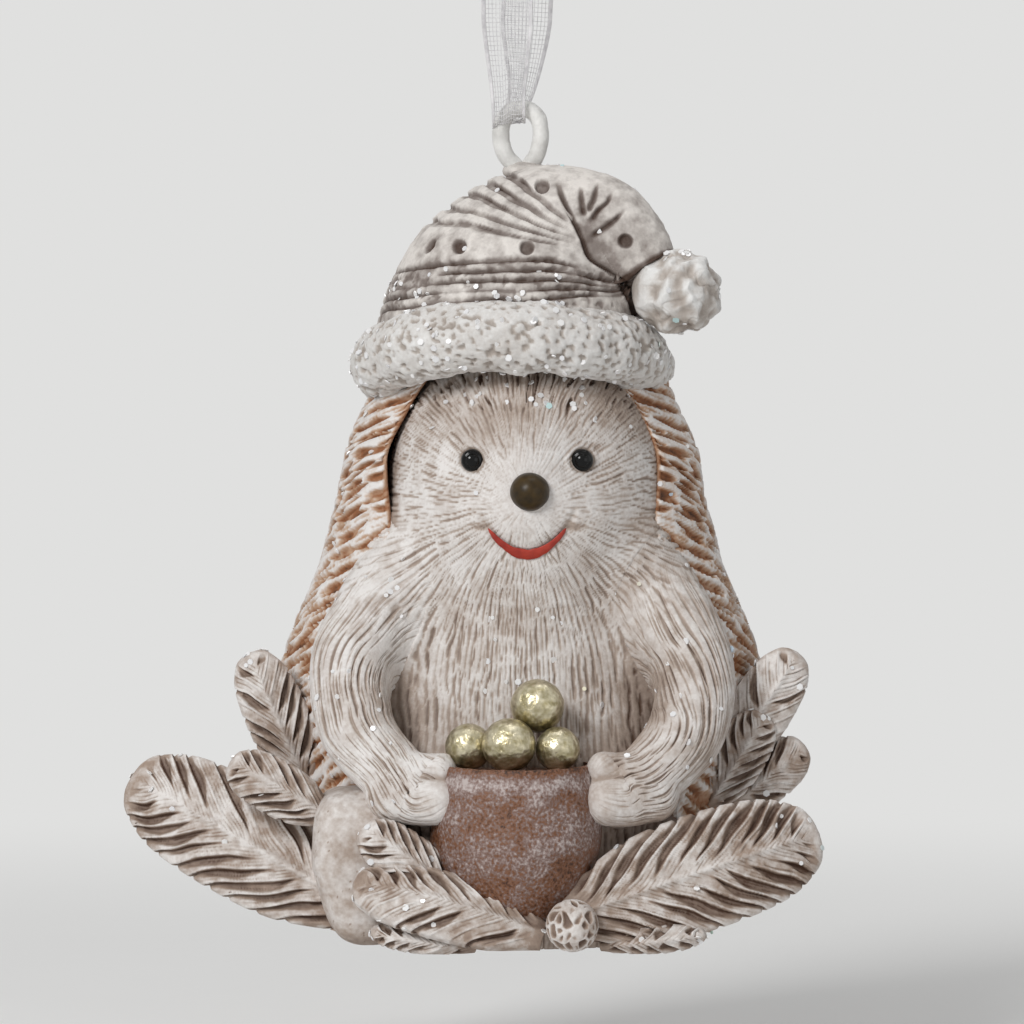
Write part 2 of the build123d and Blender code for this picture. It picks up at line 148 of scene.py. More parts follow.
# The coat's flat base runs in under the body, by these shares of the way to its middle.
coat_base_shares = (0.65, 0.3, 0.03)
coat_base_lift = 0.15
foot_middle = np.array([-16.0, -14.4, 8.0])
foot_radii = np.array([4.5, 5.6, 7.7])
foot_squareness = 3.8
foot_lean = 0.26
foot_base = 0.35
foot_pin_pitch, foot_pin_seed = 0.8, 81
foot_pin_clearing = -0.2

# Head
head_middle = np.array([0.9, -1.5, 44.6])
head_radii = np.array([14.1, 13.2, 16.0])
# How the face's columns spread round from the front, and the part of the ball that its rows cover
head_turns = (0.46, 0.28)
head_span = (0.12, 0.93)
# The least that is left of fur and smudges near the nose, and of glitter anywhere on the face
nose_fur_least, nose_smudge_least, face_glitter_least = 0.5, 0.3, 0.03
# The share of the fur's depth that is lost in the smile, and of its wash round the nose
crease_fur_loss, pale_nose_loss = 0.8, 0.4
nose_height = 45.2
nose_radius = 1.95
nose_squash = 0.98
nose_shift, nose_seat = 0.25, 0.15
eye_radius = 1.15
eye_spread = 5.45
eye_height = 48.2
eye_seat = -0.05
eye_ring_share = 0.68
mouth_half_width = 3.9
mouth_height = 41.5
mouth_sag = 2.6
mouth_thickness = 0.92
mouth_end_width, mouth_bulge = 0.72, 0.42
mouth_end_power, mouth_end_room = 14, 1.002
mouth_seat, mouth_round = 0.12, 0.28
# Each bump of the face: how high, how far to each side, its height, and its half width and half height
face_bumps = [
    (1.15, 0, 43.2, 6.0, 4.4), (0.45, 7.2, 41.0, 2.6, 3.0), (0.3, 0, 49.0, 2.4, 3.5),
    (-0.5, eye_spread, eye_height, 1.9, 1.9),
]

# Fur: strokes that start at the nose and, below the chin, run straight down
# Each kind's pitch, length and seed
coarse_fur = (0.66, 3.6, 11)
fine_fur = (0.5, 2.8, 22)
brow_fur = (1.05, 2.8, 27)
fine_fur_shift, fine_fur_share = 1.1, 0.75
chin_drop = 11.0
chin_softness = 6.0
chin_lanes_reach = 1.5
fur_side_start = 9.0
fur_side_share = 0.5
fur_noise_size = 3
fur_ring_wander, fur_ring_size, fur_ring_place = 0.9, 0.6, 0.6
# How the lanes wander: how far, in what lumps, and by which step of the seed
fur_lane_wanders = ((0.32, 0.6, 5), (0.6, 1.8, 6))
fur_fewest_lanes = 12
fur_thin = 0.9
fur_half_width = (0.16, 0.4)
fur_faintest = 0.3
stroke_roundness = 0.6
lane_half_width = (0.4, 0.35)
lane_edge, lane_slope = -0.05, 0.4
lane_faintest = 0.5

# Arms
shoulder = np.array([12.9, -6.0, 35.2])
paw = np.array([10.2, -18.2, 15.6])
elbow_out = 5.4
# Each row is how far down the arm, and how much of the elbow's reach.
arm_shares = [(0.0, 0.0), (0.36, 0.92), (0.68, 1.0), (0.9, 0.48), (1.0, 0.0)]
shoulder_root = (9.5, -4.5, 40.0)
paw_tip = (8.4, -19.3, 15.7)
arm_radii = (4.2, 4.5, 4.1, 3.8, 3.35, 3.3, 3.3)
arm_run = 42.0
arm_wave, arm_wave_turn = 0.03, 0.3
# Each kind of cut in the arm: lanes round it, their shift, the cut's length, seed, how many and how wide
arm_cuts = {
    "wide": (31, 0, 4.8, 61, 0.6, 0.9),
    "fine": (56, 0.3, 3.0, 66, 0.6, 0.8),
    "dark": (38, 0.6, 3.4, 71, 0.4, 0.5),
}
fine_cut_share = 0.7
paw_plainness = 0.75
arm_shade_middle = 0.72
arm_glitter_least = 0.1
# Each finger's root, end and radius, on the right arm
fingers = [((13.5, -17.6, 17.3), (8.5, -19.2, 18.0), 1.6), ((13.5, -18.4, 15.0), (8.9, -19.9, 14.9), 2.35)]
finger_blend = 0.9

# Hat
band_middle = np.array([-0.6, 0.0, 57.3])
band_ring = 12.8
band_radius = 3.65
band_tilt = math.radians(14.0)
band_knob_pitch, band_knob_seed = 0.95, 94
band_knob_share, band_knob_level = 0.9, 0.5
hat_blend = 2.6
crown_base = 57.3
crown_rise = 19.6
crown_half_width = 13.8
crown_half_depth = 13.4
crown_lean = 3.4
crown_evenness = 0.55
crown_over_band = 0.5
# Each row is how far up, how wide, and how much of the lean.
crown_shares = [
    (-0.2, 0.95, 0), (0.15, 1, 0.02), (0.42, 0.92, 0.12), (0.7, 0.74, 0.35),
    (0.91, 0.45, 0.7), (1.0, 0.2, 0.9), (1.01, 0.01, 0.95),
]
knit_tilt = math.radians(7.7)
knit_lines = 5
knit_start = 5.0
knit_pitch = 1.04
knit_end = 6.9
knit_drawn_in = 0.72
knit_top = 0.4
knit_fade = 0.8
knit_wander = 0.25
# The strength of a knitted line with what noise adds, its least, and how a cut gains and loses by it
knit_strength, knit_strength_noise, knit_faintest = 0.6, 1.1, 0.1
knit_cut_gain, knit_cut_loss = 1.4, 0.2
hat_glitter_least, hat_glitter_side = 0.05, 5
# Dots by x and height in front, and by degrees round the crown elsewhere
front_dots = [(-5.9, 69.4), (0.9, 69.3), (2.4, 75.4), (10.7, 69.9)]
side_dot_turns = (-127, -90, -54, -18, 18, 54, 90)
dot_height = 69.4
dot_radius = 0.75
dot_ring = 11.2
# The pleats of the crown spread from this x and height, at these angles.
fan_point = (10.1, 68.4)
pleat_angles = (140, 148, 155, 161, 166.5, 172)
pleat_seed = 106
pleat_wander, pleat_lane_wander = 1.2, 0.12
pleat_cut_strength, pleat_cut_noise = 0.6, 1.4
pleat_first_end, pleat_last_end = (-2, 3), 4
# A pleat's edge and floor, each with what chance adds
pleat_edge, pleat_floor = (0.12, 0.16), (0.28, 0.14)
# Each gather of the tip, as x and height where it starts and where it ends
gathers = [
    ((6.5, 72.6), (6.1, 75.4)), ((7.0, 73.0), (8.1, 75.8)),
    ((7.4, 72.1), (9.5, 74.7)), ((7.7, 70.5), (10.7, 73.1)),
]
gather_width = 0.3
gather_wander = 0.2
gather_taper = (1.1, 0.6, 0.3)
# The fold between the hat and its tip, as heights and x
crease_points = [(62.7, 11.7), (65.9, 10.2), (68.2, 7.35), (71.3, 5.9), (74.5, 4.3), (78.0, 3.6)]
crease_rows = 80
fold_wander = 0.12
fold_shade_start, fold_shade_width = 0.4, 1.6
tip_points = [(4.0, -2.0, 71.5), (8.1, -3.8, 72.0), (11.2, -5.2, 69.7), (13.1, -6.0, 66.9)]
tip_radii = (5.0, 4.5, 3.8, 2.95)
pompom_middle = np.array([16.0, -7.0, 64.7])
pompom_radius = 4.35
pompom_facets = 150
pompom_facet_seed = 127
pompom_facet_shares = (0.9, 0.965)
pompom_least_reach = 0.5
pompom_wander = 0.22
pompom_smooth_side = 0.15
# Which way the pompom's rough side and its seat on the hat lie, as shares of x and z
pompom_rough_way, pompom_seat_way = (0.8, -0.1), (-1, 0.2)
eyelet_middle = (0.3, 0.7)
eye_ring_radius = 2.0
# The wire's middle line, as x and height, from the shank up, round and back down
eyelet_line = [
    (0.5, 72.0), (0.6, 76.6), (1.55, 78.4), (2.05, 80.3), (1.75, 82.0), (0.75, 82.95), (-0.75, 82.95),
    (-1.75, 82.0), (-2.05, 80.3), (-1.5, 78.4), (-0.3, 76.8), (0.3, 72.0),
]
eye_wire_radius = 0.85
collar_middle = (0.85, 0.7, 76.8)
collar_radii = (2.3, 2.2, 1.05)

# Bowl
bowl_middle = (-0.2, -17.0)
# Each row is radius and height, up the outside and down into the bowl.
bowl_profile = [
    (0.2, 2.0), (4.4, 2.0), (6.9, 5.0), (8.3, 9.5), (8.5, 12.0), (8.2, 15.5),
    (7.65, 18.0), (7.1, 18.3), (6.7, 17.9), (0.2, 17.8),
]
bowl_least_radius = 0.1
bowl_rim_radius = 7.3
berries = {
    "berry_middle": ((-0.9, -20.0, 20.45), 2.65), "berry_left": ((-4.9, -17.8, 20.1), 2.3),
    "berry_right": ((3.9, -19.1, 20.0), 2.2), "berry_top": ((1.9, -17.4, 24.1), 2.65),
}
berry_seed = 150

# Fronds: root, length and width, the angles of heading, lean and facing, and how full of slots the lower and
# upper halves are
large, rear, small, fore, under = (27.6, 11.6), (15, 6.4), (11, 5.6), (19.5, 7), (10.5, 2.8)
fronds = {
    "frond_left_large": ((-15.2, -12.4, 3.0), large, (151, -12, 10), (1.0, 0.6)),
    "frond_left_rear": ((-20.9, -5.2, 14.8), rear, (114, 0, 0), (0.7, 0.5)),
    "frond_left_small": ((-19.1, -14.4, 12.8), small, (150, 0, 15), (0.7, 0.7)),
    "frond_left_front_upper": ((-6.6, -19.6, 5.6), small, (143, 4, 20), (0.6, 0.8)),
    "frond_left_front_lower": ((2.5, -22.9, 1.8), fore, (165, -4, 25), (0.35, 1.0)),
    "frond_left_under": ((-4.2, -21.0, 0.6), under, (172, 0, 0), (0.8, 0.8)),
    "frond_right_large": ((4.4, -21.9, 3.4), large, (17, -15, 10), (1.0, 1.0)),
    "frond_right_rear": ((19.9, -5.1, 16.0), rear, (57, 0, 0), (0.3, 0.4)),
    "frond_right_middle": ((18.9, -7.0, 13.2), small, (58, 0, 0), (0.7, 0.8)),
    "frond_right_tip": ((20.2, -5.1, 12.4), small, (38, 0, 0), (0.4, 0.5)),
    "frond_right_under": ((8.1, -21.0, 0.8), under, (6, 0, 0), (0.8, 0.8)),
}
frond_seed, frond_seed_step = 200, 10
frond_thickness = 3.0
frond_bow_share = 0.2
frond_roundness = 0.72
frond_thin_end, frond_thick_share = 0.4, 0.7
frond_full_lift = 1.15
frond_back_share = 0.3
frond_base = 0.05
frond_middle_columns = 0.2
frond_rows_per_mm, frond_fewest_rows, frond_columns = 12, 130, 220
frond_flakes_per_mm = 0.6
# Each row is how far along, and how wide there.
frond_outline_shares = [
    (0.0, 0.4), (0.28, 0.9), (0.55, 1.0), (0.8, 0.9), (0.94, 0.6), (0.985, 0.34), (1.0, 0.03),
]
frond_least_width = 0.02
# Barbs: their pitch for no length and for each millimetre, how they slant, and how far the halves are apart
barb_pitch, barb_pitch_growth = 1.1, 0.042
barb_slant = 1.45
barb_offset = 0.4
barb_wander = 0.26
barb_spot_pitch, barb_spot_aside = 3.0, 2
barb_carve_seed, barb_streak_seed = 9, 3
# Where a barb's hollow starts, how it widens outwards, and how deep it reaches into the barb
hollow_start, hollow_start_chance, hollow_start_fade = 0.04, 0.14, 0.14
hollow_widening, hollow_widening_power, hollow_mouth = 0.6, 0.8, 0.45
hollow_reach, hollow_reach_chance, hollow_edge = 0.5, 0.32, 0.14
scallop_share = 0.07
streak_pitch, streak_shift, streak_length, streak_fill, streak_width = 0.6, 0.3, 2.0, 0.85, 0.75
streak_outside = 0.5
cone_middle = np.array([5.3, -24.5, 3.1])
cone_radius = 2.6
cone_base = 0.3
cone_wander = 0.35
cone_cell = 1.25
cone_cell_stretch = np.array([1.25, 1.0, 0.8])
cone_cell_seed = 165
cone_hollow_least = 0.6

# Glitter: each piece's count of flakes and seed, and the flakes' sizes
sprinkles = {
    "torso": (40, 13), "face": (45, 31), "coat": (90, 59), "arm": (45, 68), "band": (420, 97),
    "hat": (110, 109), "tip": (10, 114), "pompom": (24, 126),
}
frond_sprinkle_seed = 7
flake_seed = 5
flake_corners = 6
flake_radii = (0.2, 0.38)
flake_thickness = 0.05
flake_seat = 0.05
flake_tilt = 0.22
flake_guide = (0.31, 0.52, 0.79)

# Each skin's rows and columns of points
grids = {
    "knot": (90, 150), "torso": (230, 400), "face": (256, 370), "eye": (90, 140), "nose": (80, 120),
    "mouth": (140, 24), "coat": (250, 175), "arm": (280, 320), "foot": (170, 240), "band": (540, 172),
    "crown": (240, 390), "tip": (170, 230), "pompom": (220, 360), "eyelet": (230, 44), "collar": (70, 120),
    "bowl": (190, 320), "berry": (110, 170), "cone": (130, 200),
}

# Where a thing starts and where it is full, by name: a smaller second number is a thing that fades out.
spans = {
    "ribbon_opening": (2.5, 12.0), "cup_start": (2.5, 6.0), "drape_end": (9.0, 3.0),
    "bunch_start": (0.5, 3.0), "bunch_end": (16.0, 5.0), "tail_opening": (0, 5),
    "seam": (0.25, 1.1), "fur_edge": (-0.1, 0.28), "smudge_right": (2.0, 13.0),
    "arm_shade_across": (7.5, 13.5), "arm_shade_height": (31, 26), "torso_low": (23, 17),
    "chest_glitter": (20, 30),
    "face_turn": (0.15, 0.5), "nose_fur": (2.0, 6.0), "nose_smudges": (3.0, 8.0), "mouth_ends": (1.3, 0.5),
    "brow_height": (52.2, 54.6), "brow_cut": (0.3, 0.7), "face_sides": (12.3, 13.9), "forehead": (48, 53),
    "chin": (38, 30), "face_glitter": (49.5, 53), "mouth_front": (0, -1),
    "coat_tilt": (42, 12), "coat_groove": (0.08, 0.62), "coat_low": (14, 2),
    "to_paw": (0.85, 0.96), "paw_end": (0.995, 0.955), "below_shoulder": (0.14, 0.34),
    "paw_clefts": (0.8, 0.92), "cleft_reach": (1.2, 0.4), "arm_inside": (0.8, 3.2),
    "inside_start": (0.3, 0.5), "inside_end": (0.85, 0.65), "arm_shade": (0.5, 0), "arm_under": (1.5, 3.8),
    "arm_glitter": (0.8, 0.4),
    "foot_pin": (0.16, 0.08), "foot_low": (3.5, 0), "foot_right": (-14.5, -12.0),
    "band_pits": (0.15, 0.6),
    "beside_fold": (0.1, 0.8), "pleat_back": (10.0, 4.0), "pleat_root": (4.0, 9.0),
    "pleat_cut_root": (8.0, 12.0), "fold_low": (61, 63), "fold_top": (76.0, 74.5),
    "fold_shade_edge": (-0.4, 0.3), "fold_shade_top": (75, 70), "gather_start": (-0.12, 0.1),
    "gather_end": (1.05, 0.7), "dot_edge": (0.1, -0.22),
    "knit_side": (1.0, 12.5), "knit_front": (3.0, -6.0), "knit_worn": (0.1, 0.8), "hat_glitter": (10, 6),
    "tip_outer": (0.45, 0.8), "tip_end": (0.93, 0.985),
    "pompom_rough": (-3.6, -1.8), "pompom_facet": (0.1, 0.45), "pompom_seat": (3.4, 4.3),
    "pompom_low": (0.5, 3.5),
    "bowl_inside": (17.6, 18.1), "bowl_low": (7, 2), "berry_low": (0.4, 1.6), "berry_patches": (-0.2, 0.5),
    "frond_tip": (0.97, 0.90), "frond_root": (0.04, 0.12), "frond_dark_root": (0.25, 0),
    "frond_scallop": (0.84, 1.0), "frond_thin": (-0.1, 0.4), "frond_face": (-0.05, 0.2),
    "barb_mouth": (1.0, 0.65), "barb_end": (1.0, 0.9), "wall_start": (0.76, 0.92), "wall_end": (1.0, 0.94),
    "streak_end": (0.97, 0.87), "rib_tip": (0.97, 0.67), "cone_net": (0.1, 0.34),
}

# Marks that are strongest at one value, by name: that value and how wide they are
peaks = {
    "crease": (0, 0.7), "lid": (1.45, 0.25), "eye_line": (1.15, 0.12), "dimple_across": (4.7, 0.8),
    "dimple_height": (0.1, 0.35), "pale_nose": (0, 6.0), "eye_ring": (0, 0.12), "cleft": (0, 0.4),
    "pleat_cut": (0.3, 0.06), "fold": (0, 0.24), "knit": (0, 0.24), "knit_cut": (-0.12, 0.1),
    "pompom_crease": (0, 0.1), "bowl_rim": (16.9, 0.75), "barb_ridge": (0.08, 0.12), "rib": (0, 0.38),
}

# Noise by name: the size of its lumps and its seed, to which fronds, berries and knitted lines add their own
grains = {
    "knot": (2.0, 3), "smudge_large": (3.2, 15), "smudge_middle": (1.1, 16), "smudge_fine": (0.5, 17),
    "nose_lumps": (1.6, 42), "nose_fine": (0.5, 43), "mouth_fine": (0.5, 44), "mouth_patches": (0.7, 45),
    "coat_lumps": (4.0, 57), "coat_tint": (5.0, 58), "coat_patches": (0.8, 54),
    "arm_bend": (5.0, 63), "arm_lumps": (5.0, 64),
    "foot_clearing": (2.5, 84), "foot_lumps": (4.0, 82), "foot_fine": (0.9, 85), "foot_patches": (2.5, 83),
    "foot_specks": (0.5, 86),
    "band_rough": (0.5, 91), "band_lumps": (2.6, 96),
    "pleat_wander": (4.0, 104), "pleat_lane": (1.8, 105), "pleat_cut": (1.8, 107), "fold_wander": (1.2, 111),
    "gather_x": (1.4, 110), "gather_z": (1.4, 112), "hat_bumps": (0.9, 117),
    "hat_patches": (2.0, 108), "knit_wander": (4.0, 101), "knit_strength": (3.0, 102),
    "knit_worn": (0.6, 118),
    "pompom_x": (1.1, 121), "pompom_y": (1.1, 122), "pompom_z": (1.1, 123), "pompom_crease": (1.5, 128),
    "pompom_scuff": (0.6, 125),
    "wire_lumps": (1.1, 131), "wire_fine": (0.4, 132), "wire_patches": (1.3, 133),
    "collar_lumps": (1.3, 134), "collar_fine": (0.5, 136), "collar_patches": (1.0, 135),
    "bowl_dents": (2.2, 141), "bowl_fine": (0.5, 142),
    "berry_crumple": (0.7, 0), "berry_patches": (1.3, 2),
    "barb": (1, 2), "frond_rough": (2.6, 5), "frond_patches": (2.5, 6),
    "frond_specks": (0.7, 8),
    "cone_x": (1.3, 162), "cone_y": (1.3, 163), "cone_z": (1.3, 164), "cone_patches": (1.4, 161),
}
# The finer noise that is added to some of them: its size, its seed and its share
fine_grains = {
    "band_rough": (0.33, 93, 0.5), "hat_bumps": (0.5, 116, 0.6), "knit_worn": (0.35, 119, 0.8),
    "bowl_fine": (0.3, 143, 0.6), "berry_crumple": (0.35, 1, 0.7), "frond_rough": (0.8, 4, 0.3),
}

# How deep each piece's marks are cut, in millimetres, with those that stand proud below zero
depths = {
    "knot": {"folds": 0.55, "threads": 0.05}, "torso": {"fur": 0.25},
    "face": {"fur": 0.2, "crease": 0.3, "lids": -0.14}, "brow": {"brow": 0.3, "dimples": 0.15},
    "eye": {"ring": 0.13}, "nose": {"lumps": 0.04, "fine": 0.015}, "mouth": {"fine": 0.05},
    "coat": {"groove": 0.6, "scratch": 0.14, "lumps": 0.25},
    "arm": {"groove": 0.26, "cut": 0.2, "clefts": 0.2, "lumps": 0.18},
    "foot": {"pins": 0.1, "lumps": 0.16, "fine": 0.05},
    "band": {"pits": 0.24, "knobs": 0.2, "lumps": -0.35},
    "knit": {"knit": 0.34, "cut": 0.2, "worn": 0.1},
    "hat": {
        "hollow": 0.42, "cut": 0.26, "pucker": 0.42, "fold": 0.6, "shade": 0.12, "dots": 0.55, "bumps": 0.06,
    },
    "pompom": {"plain": -0.35, "cut": 1.7, "crease": 0.08, "scuff": 0.1},
    "eyelet": {"lumps": 0.09, "fine": 0.03}, "collar": {"lumps": 0.22, "fine": 0.05},
    "bowl": {"dents": 0.14, "fine": 0.05}, "berry": {"crumple": 0.04},
    "frond": {"hollow": 0.55, "ridge": -0.14, "streak": 0.14, "rib": -0.34, "rough": 0.18},
    "cone": {"hollow": 0.42},
}

# How much dark wash each piece's marks hold, with the painted shade, and the bowl rim's painted highlight,
# that some of them add
washes_and_shades = {
    "torso": {"plain": 0.13, "fur": 0.66, "beside_arms": 0.4, "low": 0.25, "smudges": 1.0},
    "face": {
        "plain": 0.05, "fur": 0.6, "brow": 0.75, "dimples": 0.45, "crease": 0.15, "round_eyes": 0.4,
        "sides": 0.5, "forehead": 0.22, "smudges": 1.0, "chin": 0.1,
    },
    "mouth": {"plain": 0.15, "front": 0.25, "patches": 0.3},
    "coat": {
        "groove": 0.42, "tinted_groove": 0.2, "patchy_groove": 0.16, "lip": 0.4, "tint": 0.05,
        "scratch": 0.3, "low": 0.22, "patches": 0.1,
    },
    "arm": {
        "plain": 0.09, "groove": 0.6, "cut": 0.7, "clefts": 0.25, "inside": 0.25, "smudges": 1.3,
        "under": 0.25,
    },
    "foot": {"plain": 0.24, "pins": 0.4, "patches": 0.1, "specks": 0.12, "low": 0.35, "right": 0.2},
    "band": {"plain": 0.09, "pits": 0.38, "knobs": 0.08, "lumps": -0.06},
    "knit": {"on_knit": 0.12, "worn": 0.28, "knit": 0.36, "cut": 0.75}, "tip": {"outer": 0.16, "end": 0.8},
    "hat": {
        "plain": 0.08, "hollow": 0.42, "cut": 0.6, "pucker": 0.75, "fold": 0.95, "shade": 0.45, "dots": 0.72,
        "patches": 0.16, "bumps": 0.16,
    },
    "pompom": {"plain": 0.06, "facets": 0.34, "crease": 0.1, "scuff": 0.2, "seat": 0.35, "low": 0.16},
    "eyelet": {"plain": 0.15, "patches": 0.3}, "collar": {"plain": 0.16, "patches": 0.25},
    "bowl": {"plain": 0.5, "dents": 0.16, "fine": 0.1, "rim": -0.36, "inside": 0.2, "low": 0.22},
    "berry": {"plain": 0.2, "crumple": 0.22, "under": 0.35},
    "frond": {
        "plain": 0.2, "hollow": 0.46, "wall": 0.4, "ridge": -0.14, "streak": 0.5, "rib": -0.1, "root": 0.3,
        "patches": 0.18, "specks": 0.14,
    },
    "cone": {"plain": 0.1, "hollow": 0.8, "patches": 0.12},
    "smudges": {"large": 0.1, "middle": 0.07, "fine": 0.05, "right": 0.09},
}

# Lamps: place from the figure's middle in metres, width in metres, and watts
lamps = [
    ("key", (-0.38, -0.6, 0.4), 0.3, 3.9),
    ("fill", (0.5, -0.6, 0.1), 0.5, 0.5),
    ("top", (0.05, 0.1, 0.6), 0.4, 1.0),
]
light_target = (0, -8, 45)
world_light = 0.23
# The floor, measured from where the ribbon hangs, and how far off it starts and ends its fade
floor_height = -135.0
floor_radius = 600.0
floor_corners = 96
floor_grain = 40.0
floor_fade = (135.0, 320.0)

# Paint, as red, green and blue from 0 to 255
background = (224, 224, 223)
cream = (230, 226, 223)
warm_grey = (172, 156, 144)
groove_brown = (84, 62, 48)
sienna = (148, 97, 62)
hat_grey = (140, 130, 124)
# Each paint's colours by how much wash there is, its roughness, and how uneven it is
paints = {
    "fur_paint": ([(0.0, cream), (0.4, warm_grey), (1.0, groove_brown)], 0.6, 0.3),
    "spine_paint": ([(0.0, cream), (0.28, (190, 158, 132)), (0.56, sienna), (1.0, (64, 40, 27))], 0.6, 0.3),
    "hat_paint": ([(0.0, (224, 218, 212)), (0.45, hat_grey), (1.0, (70, 52, 42))], 0.6, 0.3),
    "white_fur_paint": ([(0.0, (228, 227, 225)), (0.4, (180, 171, 163)), (1.0, (108, 92, 80))], 0.5, 0.3),
    "frond_paint": ([(0.0, (226, 221, 217)), (0.35, (160, 141, 127)), (0.95, (80, 56, 42))], 0.6, 0.3),
    "white_wire": ([(0.0, (232, 231, 228)), (0.6, (190, 188, 184)), (1.0, (130, 124, 118))], 0.45, 0.3),
    "red_paint": ([(0.0, (176, 58, 42)), (0.5, (142, 38, 28)), (1.0, (92, 22, 18))], 0.4, 0.15),
}
gold_stops = [(0.0, (212, 204, 178)), (0.4, (160, 150, 116)), (0.85, (84, 74, 46))]
bowl_stops = [
    (0.0, (190, 178, 174)), (0.28, (146, 126, 120)), (0.46, (120, 96, 87)), (0.62, (124, 82, 56)),
    (0.82, (86, 54, 37)), (1.0, (46, 31, 25)),
]
flake_stops = [
    (0.0, (240, 239, 238)), (0.95, (230, 230, 232)), (0.965, (236, 222, 150)), (0.98, (190, 212, 236)),
    (1.0, (200, 232, 206)),
]
organza_stops = [(0.3, (206, 204, 206)), (0.7, (236, 234, 235))]
floor_stops = [(0.3, (246, 246, 245)), (0.7, (248, 248, 247))]
# Each bead's stops of colour and its roughness
beads = {
    "black_bead": ([(0.35, (3, 3, 3)), (0.7, (10, 9, 9))], 0.08),
    "olive_bead": ([(0.35, (42, 31, 12)), (0.7, (66, 50, 22))], 0.36),
}
# The noise in the paints, as lump size in millimetres and detail
paint_patches, paint_specks, paint_tooth = (2.2, 3.0), (0.35, 4.0), (0.3, 4.0)
gold_rub, gold_tooth = (0.4, 5.0), (0.35, 4.0)
bowl_patches, bowl_specks = (4.5, 3.0), (0.3, 8.0)
bead_patches, bead_tooth = (0.9, 3.0), (1.2, 3.0)
organza_patches = (0.7, 3.0)
# How far some of that noise spreads the wash
gold_spread, bowl_patch_spread, bowl_speck_spread = 0.6, 0.8, 1.5


def to_frame(points):
    return (np.asarray(points, float) - hang_place) * mm


def ramp(value, start, full):
    """0 at the start, 1 where it is full, and eased between."""
    part = np.clip((value - start) / (full - start), 0, 1)
    return part * part * (3 - 2 * part)


def over(value, name):
    """How far the value is into a named span, eased from 0 to 1."""
    return ramp(value, *spans[name])


def bell(value, width):
    return np.exp(-(value / width) ** 2)


def peak(value, name):
    """How near the value is to a named peak, from 0 to 1."""
    middle, width = peaks[name]
    return bell(value - middle, width)


def at_least(least, share):
    """A share from 0 to 1, raised so that it starts at the least."""
    return least + (1 - least) * share


def unit(vectors):
    return vectors / np.linalg.norm(vectors, axis=-1, keepdims=True)


def run_along(line):
    """How far along a line each of its points is."""
    return np.concatenate([[0], np.cumsum(np.linalg.norm(np.diff(line, axis=0), axis=1))])


def smooth(points, count):
    """Points along a smooth curve through the given ones."""
    points = np.asarray(points, float)
    padded = np.vstack([2 * points[0] - points[1], points, 2 * points[-1] - points[-2]])
    place = np.linspace(0, len(points) - 1, count)
    index = np.minimum(place.astype(int), len(points) - 2)
    part = (place - index)[:, None]
    before, start, end, after = (padded[index + step] for step in range(4))
    curved = 2 * before - 5 * start + 4 * end - after
    twisted = 3 * start - before - 3 * end + after
    return start + ((end - before) * part + curved * part ** 2 + twisted * part ** 3) / 2


def smooth_values(values, count):
    return smooth([(value, 0) for value in values], count)[:, 0]


def chance(first, second, seed):
    """A steady number from 0 to 1 for each pair of whole numbers."""
    mixed = np.sin(first * 127.1 + second * 311.7 + seed * 74.7) * 43758.5453
    return mixed - np.floor(mixed)


def noise(points, size, seed):
    """Smooth noise from -1 to 1 with lumps of that size."""
    cell = np.asarray(points) / size
    low = np.floor(cell)
    ease = ramp(cell - low, 0, 1)
    total = 0
    for corner in np.ndindex(2, 2, 2):
        weight = np.prod(np.where(corner, ease, 1 - ease), axis=-1)
        place = low + np.array(corner)
        total = total + weight * chance(place[..., 0] + noise_layer * place[..., 2], place[..., 1], seed)
    return 2 * total - 1


def grain(points, name, seed=0):
    """The named noise at those points, with the finer one that belongs to some."""
    size, own_seed = grains[name]
    total = noise(points, size, own_seed + seed)
    if name in fine_grains:
        size, own_seed, share = fine_grains[name]
        total = total + share * noise(points, size, own_seed + seed)
    return total


def wandered(points, names, reach):
    """Points moved about by one noise for each axis."""
    return points + reach * np.stack([grain(points, name) for name in names], -1)


def cells(points, size, seed):
    """Gaps to the nearest and second nearest of scattered points, in cells, and a number for the cell."""
    cell = np.asarray(points) / size
    low = np.floor(cell)
    nearest = np.full(cell.shape[:-1], np.inf)
    second = nearest.copy()
    number = np.zeros_like(nearest)
    for step in np.ndindex(3, 3, 3):
        place = low + np.array(step) - 1
        key = place[..., 0] + noise_layer * place[..., 2]
        spot = place + np.stack([chance(key, place[..., 1], seed + axis) for axis in range(3)], -1)
        gap = np.linalg.norm(cell - spot, axis=-1)
        closer = gap < nearest
        second = np.where(closer, nearest, np.minimum(second, gap))
        nearest = np.where(closer, gap, nearest)
        number = np.where(closer, chance(key, place[..., 1], seed + 7), number)
    return nearest, second, number


def off_lane(lane):
    """How far a place is from the middle of its lane, from 0 to 1 at the lane's edge."""
    return np.abs(lane - np.floor(lane) - 0.5) * 2


def stroke_width(luck, widths, share):
    """The half width of a stroke, which is drawn in at both of its ends."""
    return (widths[0] + widths[1] * luck) * np.sin(np.pi * share) ** stroke_roundness


def lane_grooves(lane, step, seed, fill=0.92, thin=1.0):
    """Tapered grooves, 0 to 1, down the lanes: lane and step are counted in lanes and in groove lengths."""
    lane_number = np.floor(lane)
    step = step + chance(lane_number, 0, seed)
    step_number = np.floor(step)
    luck = chance(lane_number, step_number, seed + 1)
    strength = at_least(lane_faintest, chance(lane_number, step_number, seed + 2))
    half_width = thin * stroke_width(luck, lane_half_width, step - step_number)
    return ramp(half_width - off_lane(lane), lane_edge, lane_slope * thin) * strength * (luck < fill)


def strokes(along, across, length, pitch, seed, wander):
    """Carved strokes that run along one way, in lanes of that pitch."""
    place = np.stack([along / length, across / pitch / 3, np.zeros_like(along)], -1)
    return lane_grooves(across / pitch + wander * noise(place, 1, seed), along / length, seed)


